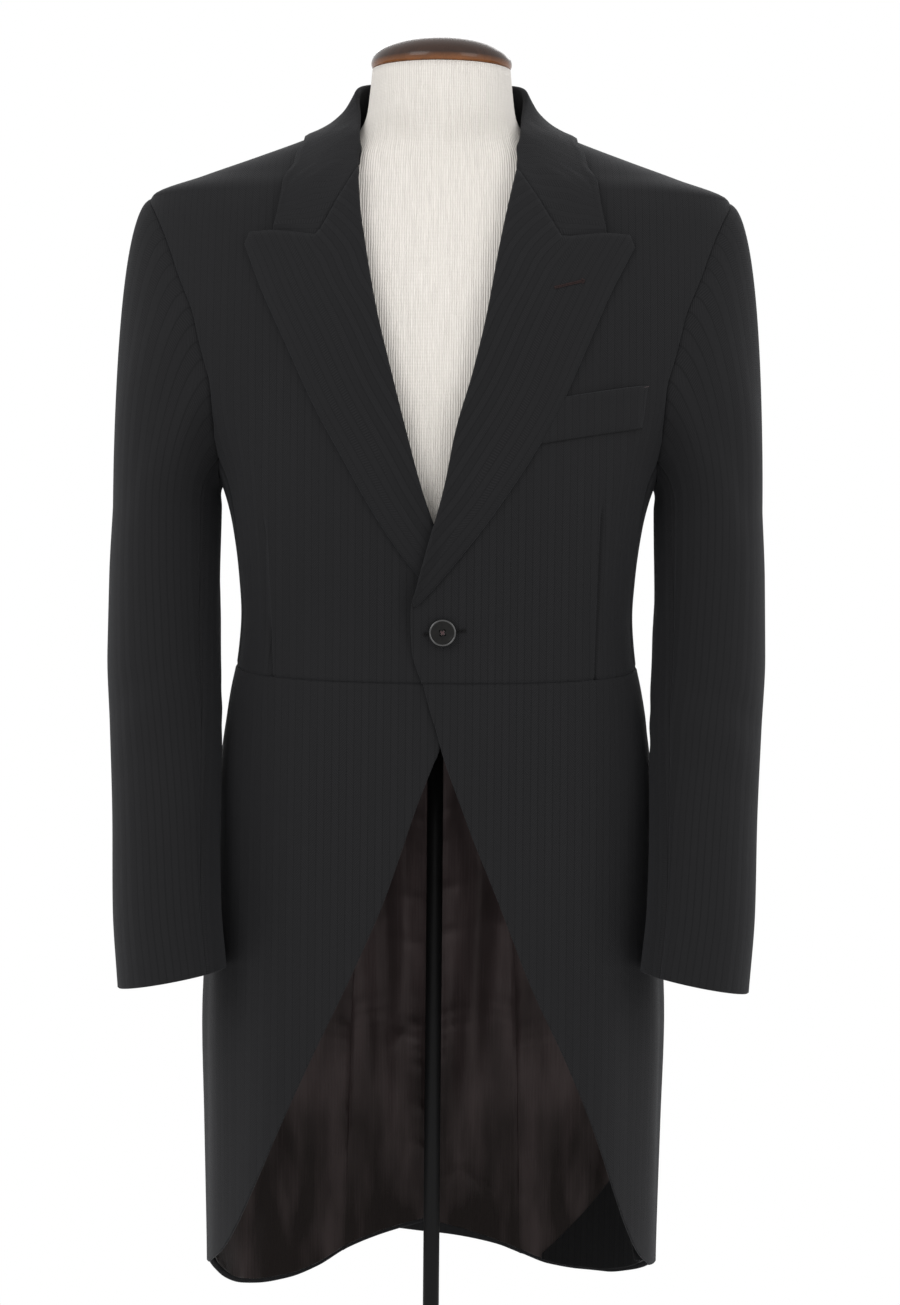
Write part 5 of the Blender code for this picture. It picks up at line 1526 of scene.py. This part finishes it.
def stitch_tree(name, finish):
    """Geometry Nodes: one small stitch on each point, laid along it and facing out."""
    tree = bpy.data.node_groups.new(name, "GeometryNodeTree")
    tree.interface.new_socket("Stitches", in_out="INPUT", socket_type="NodeSocketGeometry")
    for label, size in (("Length", 0.002), ("Thickness", 0.0004)):
        socket = tree.interface.new_socket(label, in_out="INPUT", socket_type="NodeSocketFloat")
        socket.default_value = size
    seed = tree.interface.new_socket("Seed", in_out="INPUT", socket_type="NodeSocketInt")
    seed.default_value = 3
    tree.interface.new_socket("Stitches", in_out="OUTPUT", socket_type="NodeSocketGeometry")

    def add(kind, settings=(), **inputs):
        made = tree.nodes.new(kind)
        for key, value in dict(settings).items():
            setattr(made, key, value)
        for key, value in inputs.items():
            socket = made.inputs[key.replace("_", " ")]
            if isinstance(value, bpy.types.NodeSocket):
                tree.links.new(value, socket)
            else:
                socket.default_value = value
        return made

    given = add("NodeGroupInput").outputs
    bead = add("GeometryNodeMeshIcoSphere", Radius=1.0, Subdivisions=2).outputs["Mesh"]
    half = add("ShaderNodeMath", {"operation": "MULTIPLY"})
    tree.links.new(given["Length"], half.inputs[0])
    half.inputs[1].default_value = 0.5
    thickness = given["Thickness"]
    size = add("ShaderNodeCombineXYZ", X=half.outputs[0], Y=thickness, Z=thickness).outputs[0]
    vector = {"data_type": "FLOAT_VECTOR"}
    along_stitch = add("GeometryNodeInputNamedAttribute", vector, Name="along").outputs[0]
    facing = add("GeometryNodeInputNamedAttribute", vector, Name="facing").outputs[0]
    lie = add("FunctionNodeAlignRotationToVector", {"axis": "X"}, Vector=along_stitch).outputs[0]
    turned_out = add("FunctionNodeAlignRotationToVector", {"axis": "Z", "pivot_axis": "X"},
                     Rotation=lie, Vector=facing)
    vary = add("FunctionNodeRandomValue", {"data_type": "FLOAT"}, Seed=given["Seed"])
    for socket, value in ((2, 0.82), (3, 1.12)):
        vary.inputs[socket].default_value = value
    scaled = add("ShaderNodeVectorMath", {"operation": "SCALE"})
    tree.links.new(size, scaled.inputs[0])
    tree.links.new(vary.outputs[1], scaled.inputs["Scale"])
    laid = add("GeometryNodeInstanceOnPoints", Points=given["Stitches"], Instance=bead,
               Rotation=turned_out.outputs[0], Scale=scaled.outputs[0]).outputs[0]
    real = add("GeometryNodeRealizeInstances", Geometry=laid).outputs[0]
    smooth = add("GeometryNodeSetShadeSmooth", Geometry=real).outputs[0]
    done = add("GeometryNodeSetMaterial", Geometry=smooth, Material=finish.material).outputs[0]
    tree.links.new(done, add("NodeGroupOutput").inputs[0])
    return tree


def stitches(name, spots, alongs, facings, finish, length, thickness):
    """Lays one stitch on each place, and turns the result into a plain mesh."""
    mesh = bpy.data.meshes.new(name)
    mesh.from_pydata(np.asarray(spots, float).tolist(), [], [])
    for key, vectors in (("along", alongs), ("facing", facings)):
        layer = mesh.attributes.new(key, "FLOAT_VECTOR", "POINT")
        layer.data.foreach_set("vector", np.asarray(vectors, float).ravel())
    piece = bpy.data.objects.new(name, mesh)
    bpy.context.scene.collection.objects.link(piece)
    tree = stitch_tree(name + "_tree", finish)
    laid = piece.modifiers.new("stitches", "NODES")
    laid.node_group = tree
    sizes = {"Length": length, "Thickness": thickness}
    for item in tree.interface.items_tree:
        if item.in_out == "INPUT" and item.name in sizes:
            laid[item.identifier] = sizes[item.name]
    bpy.context.view_layer.update()
    plain = bpy.data.meshes.new_from_object(piece.evaluated_get(bpy.context.evaluated_depsgraph_get()))
    piece.modifiers.clear()
    piece.data = plain
    belongs(piece, "wool")


STITCH_PITCH = 0.00055


def bound_hole(name, start, end, out, width, eye, finish):
    """A buttonhole on the wearer's left front: close stitches around a slit and its eye."""
    start, end = np.array(start), np.array(end)
    run = unit(end - start)
    over = np.array([-run[1], run[0]])
    length = np.linalg.norm(end - start)
    outline = []
    for step in np.arange(0, length, STITCH_PITCH):
        outline.append((start + run * step + over * width / 2, over))
    for turn in np.linspace(math.pi / 2, -math.pi / 2, 11 if eye > width else 6):
        direction = run * math.cos(turn) + over * math.sin(turn)
        outline.append((end + direction * eye / 2, direction))
    for step in np.arange(length, 0, -STITCH_PITCH):
        outline.append((start + run * step - over * width / 2, -over))
    places = np.array([spot for spot, _ in outline])
    lean = np.array([direction for _, direction in outline])
    ahead = places + lean * 0.0005
    middle, beyond = (front_place(1, *spot.T, np.full(len(spot), out)) for spot in (places, ahead))
    facing = ring_normal(BODY, angle_at(places[:, 0], places[:, 1]), places[:, 1])
    stitches(name, middle, unit(beyond - middle), facing, finish, 0.0014, 0.00026)


bound_hole("front_buttonhole", (0.0225, 1.0172), (-0.0082, 1.0140), 0.0004, 0.0012, 0.0026, black_silk)
bound_hole("lapel_buttonhole", (0.0883, 1.2811), (0.1095, 1.2871), 0.0062, 0.0011, 0.0030, brown_silk)


def running_stitches(name, line, out, gap, length, finish):
    """Stitches end to end along a line of x and height on the wearer's left front."""
    line = np.array(line)
    far_along = np.concatenate([[0], np.cumsum(np.linalg.norm(np.diff(line, axis=0), axis=1))])
    wanted = np.arange(gap / 2, far_along[-1], gap)
    x = np.interp(wanted, far_along, line[:, 0])
    z = np.interp(wanted, far_along, line[:, 1])
    middle = front_place(1, x, z, np.full(len(x), out))
    along_line = unit(np.gradient(middle, axis=0))
    facing = ring_normal(BODY, angle_at(x, z), z)
    stitches(name, middle, along_line, facing, finish, length, 0.00022)


# Black silk stitches laid end to end along the welt's foot: felling stitches, and a continuous dark line that
# paints the shadow under the welt's edge.
welt_foot = [(x - WELT_LEAN, low - 0.0003) for x, low, _ in WELT]
running_stitches("welt_foot_stitches", welt_foot, 0.0012, 0.0013, 0.0019, black_silk)
welt_end = [(0.1595, 1.2080), (0.1640, 1.2093)]
running_stitches("welt_end_stitches", welt_end, 0.0012, 0.0015, 0.0016, pocket_silk)


# ---- Floor, lights and camera --------------------------------------------------------------------
# A pale studio floor, a big soft light on each side in front, one above and behind, and a
# long lens at chest height.
bpy.ops.mesh.primitive_plane_add(size=2.6, location=(0, 0, -0.0006))
floor = bpy.context.object
floor.name = "studio_floor"
pale = Finish("studio_floor", Roughness=0.85)
pale.feed(Base_Color=pale.blend(pale.noise(3, 2), (0.80, 0.80, 0.80, 1), (0.84, 0.84, 0.84, 1)))
floor.data.materials.append(pale.material)

scene = bpy.context.scene
scene.view_settings.view_transform = "Standard"
scene.view_settings.look = "None"
sky = bpy.data.worlds.new("studio")
sky.use_nodes = True
sky.node_tree.nodes["Background"].inputs["Color"].default_value = (1.0, 1.0, 1.0, 1)
sky.node_tree.nodes["Background"].inputs["Strength"].default_value = 1.0
scene.world = sky


def soft_light(name, place, aim, size, power):
    lamp = bpy.data.lights.new(name, "AREA")
    lamp.shape = "RECTANGLE"
    lamp.size, lamp.size_y = size
    lamp.energy = power
    thing = bpy.data.objects.new(name, lamp)
    thing.location = place
    away = np.array(place) - np.array(aim)
    flat_reach = math.hypot(away[0], away[1])
    thing.rotation_euler = (math.atan2(flat_reach, away[2]), 0, math.atan2(away[0], -away[1]))
    scene.collection.objects.link(thing)


soft_light("front_left_softbox", (-1.6, -2.2, 2.1), (0, 0, 1.0), (1.4, 1.8), 26)
soft_light("front_right_softbox", (1.8, -1.9, 1.7), (0, 0, 1.0), (1.2, 1.8), 16)
soft_light("back_light", (0.3, 1.8, 2.5), (0, 0, 1.1), (1.8, 1.0), 20)

lens = bpy.data.cameras.new("camera")
lens.sensor_fit = "VERTICAL"
lens.sensor_height = 36
lens.lens = 92.3
camera = bpy.data.objects.new("camera", lens)
camera.location = (0.0109, -2.7, 1.0)
camera.rotation_euler = (math.pi / 2, -0.0087, 0)
scene.collection.objects.link(camera)
scene.camera = camera
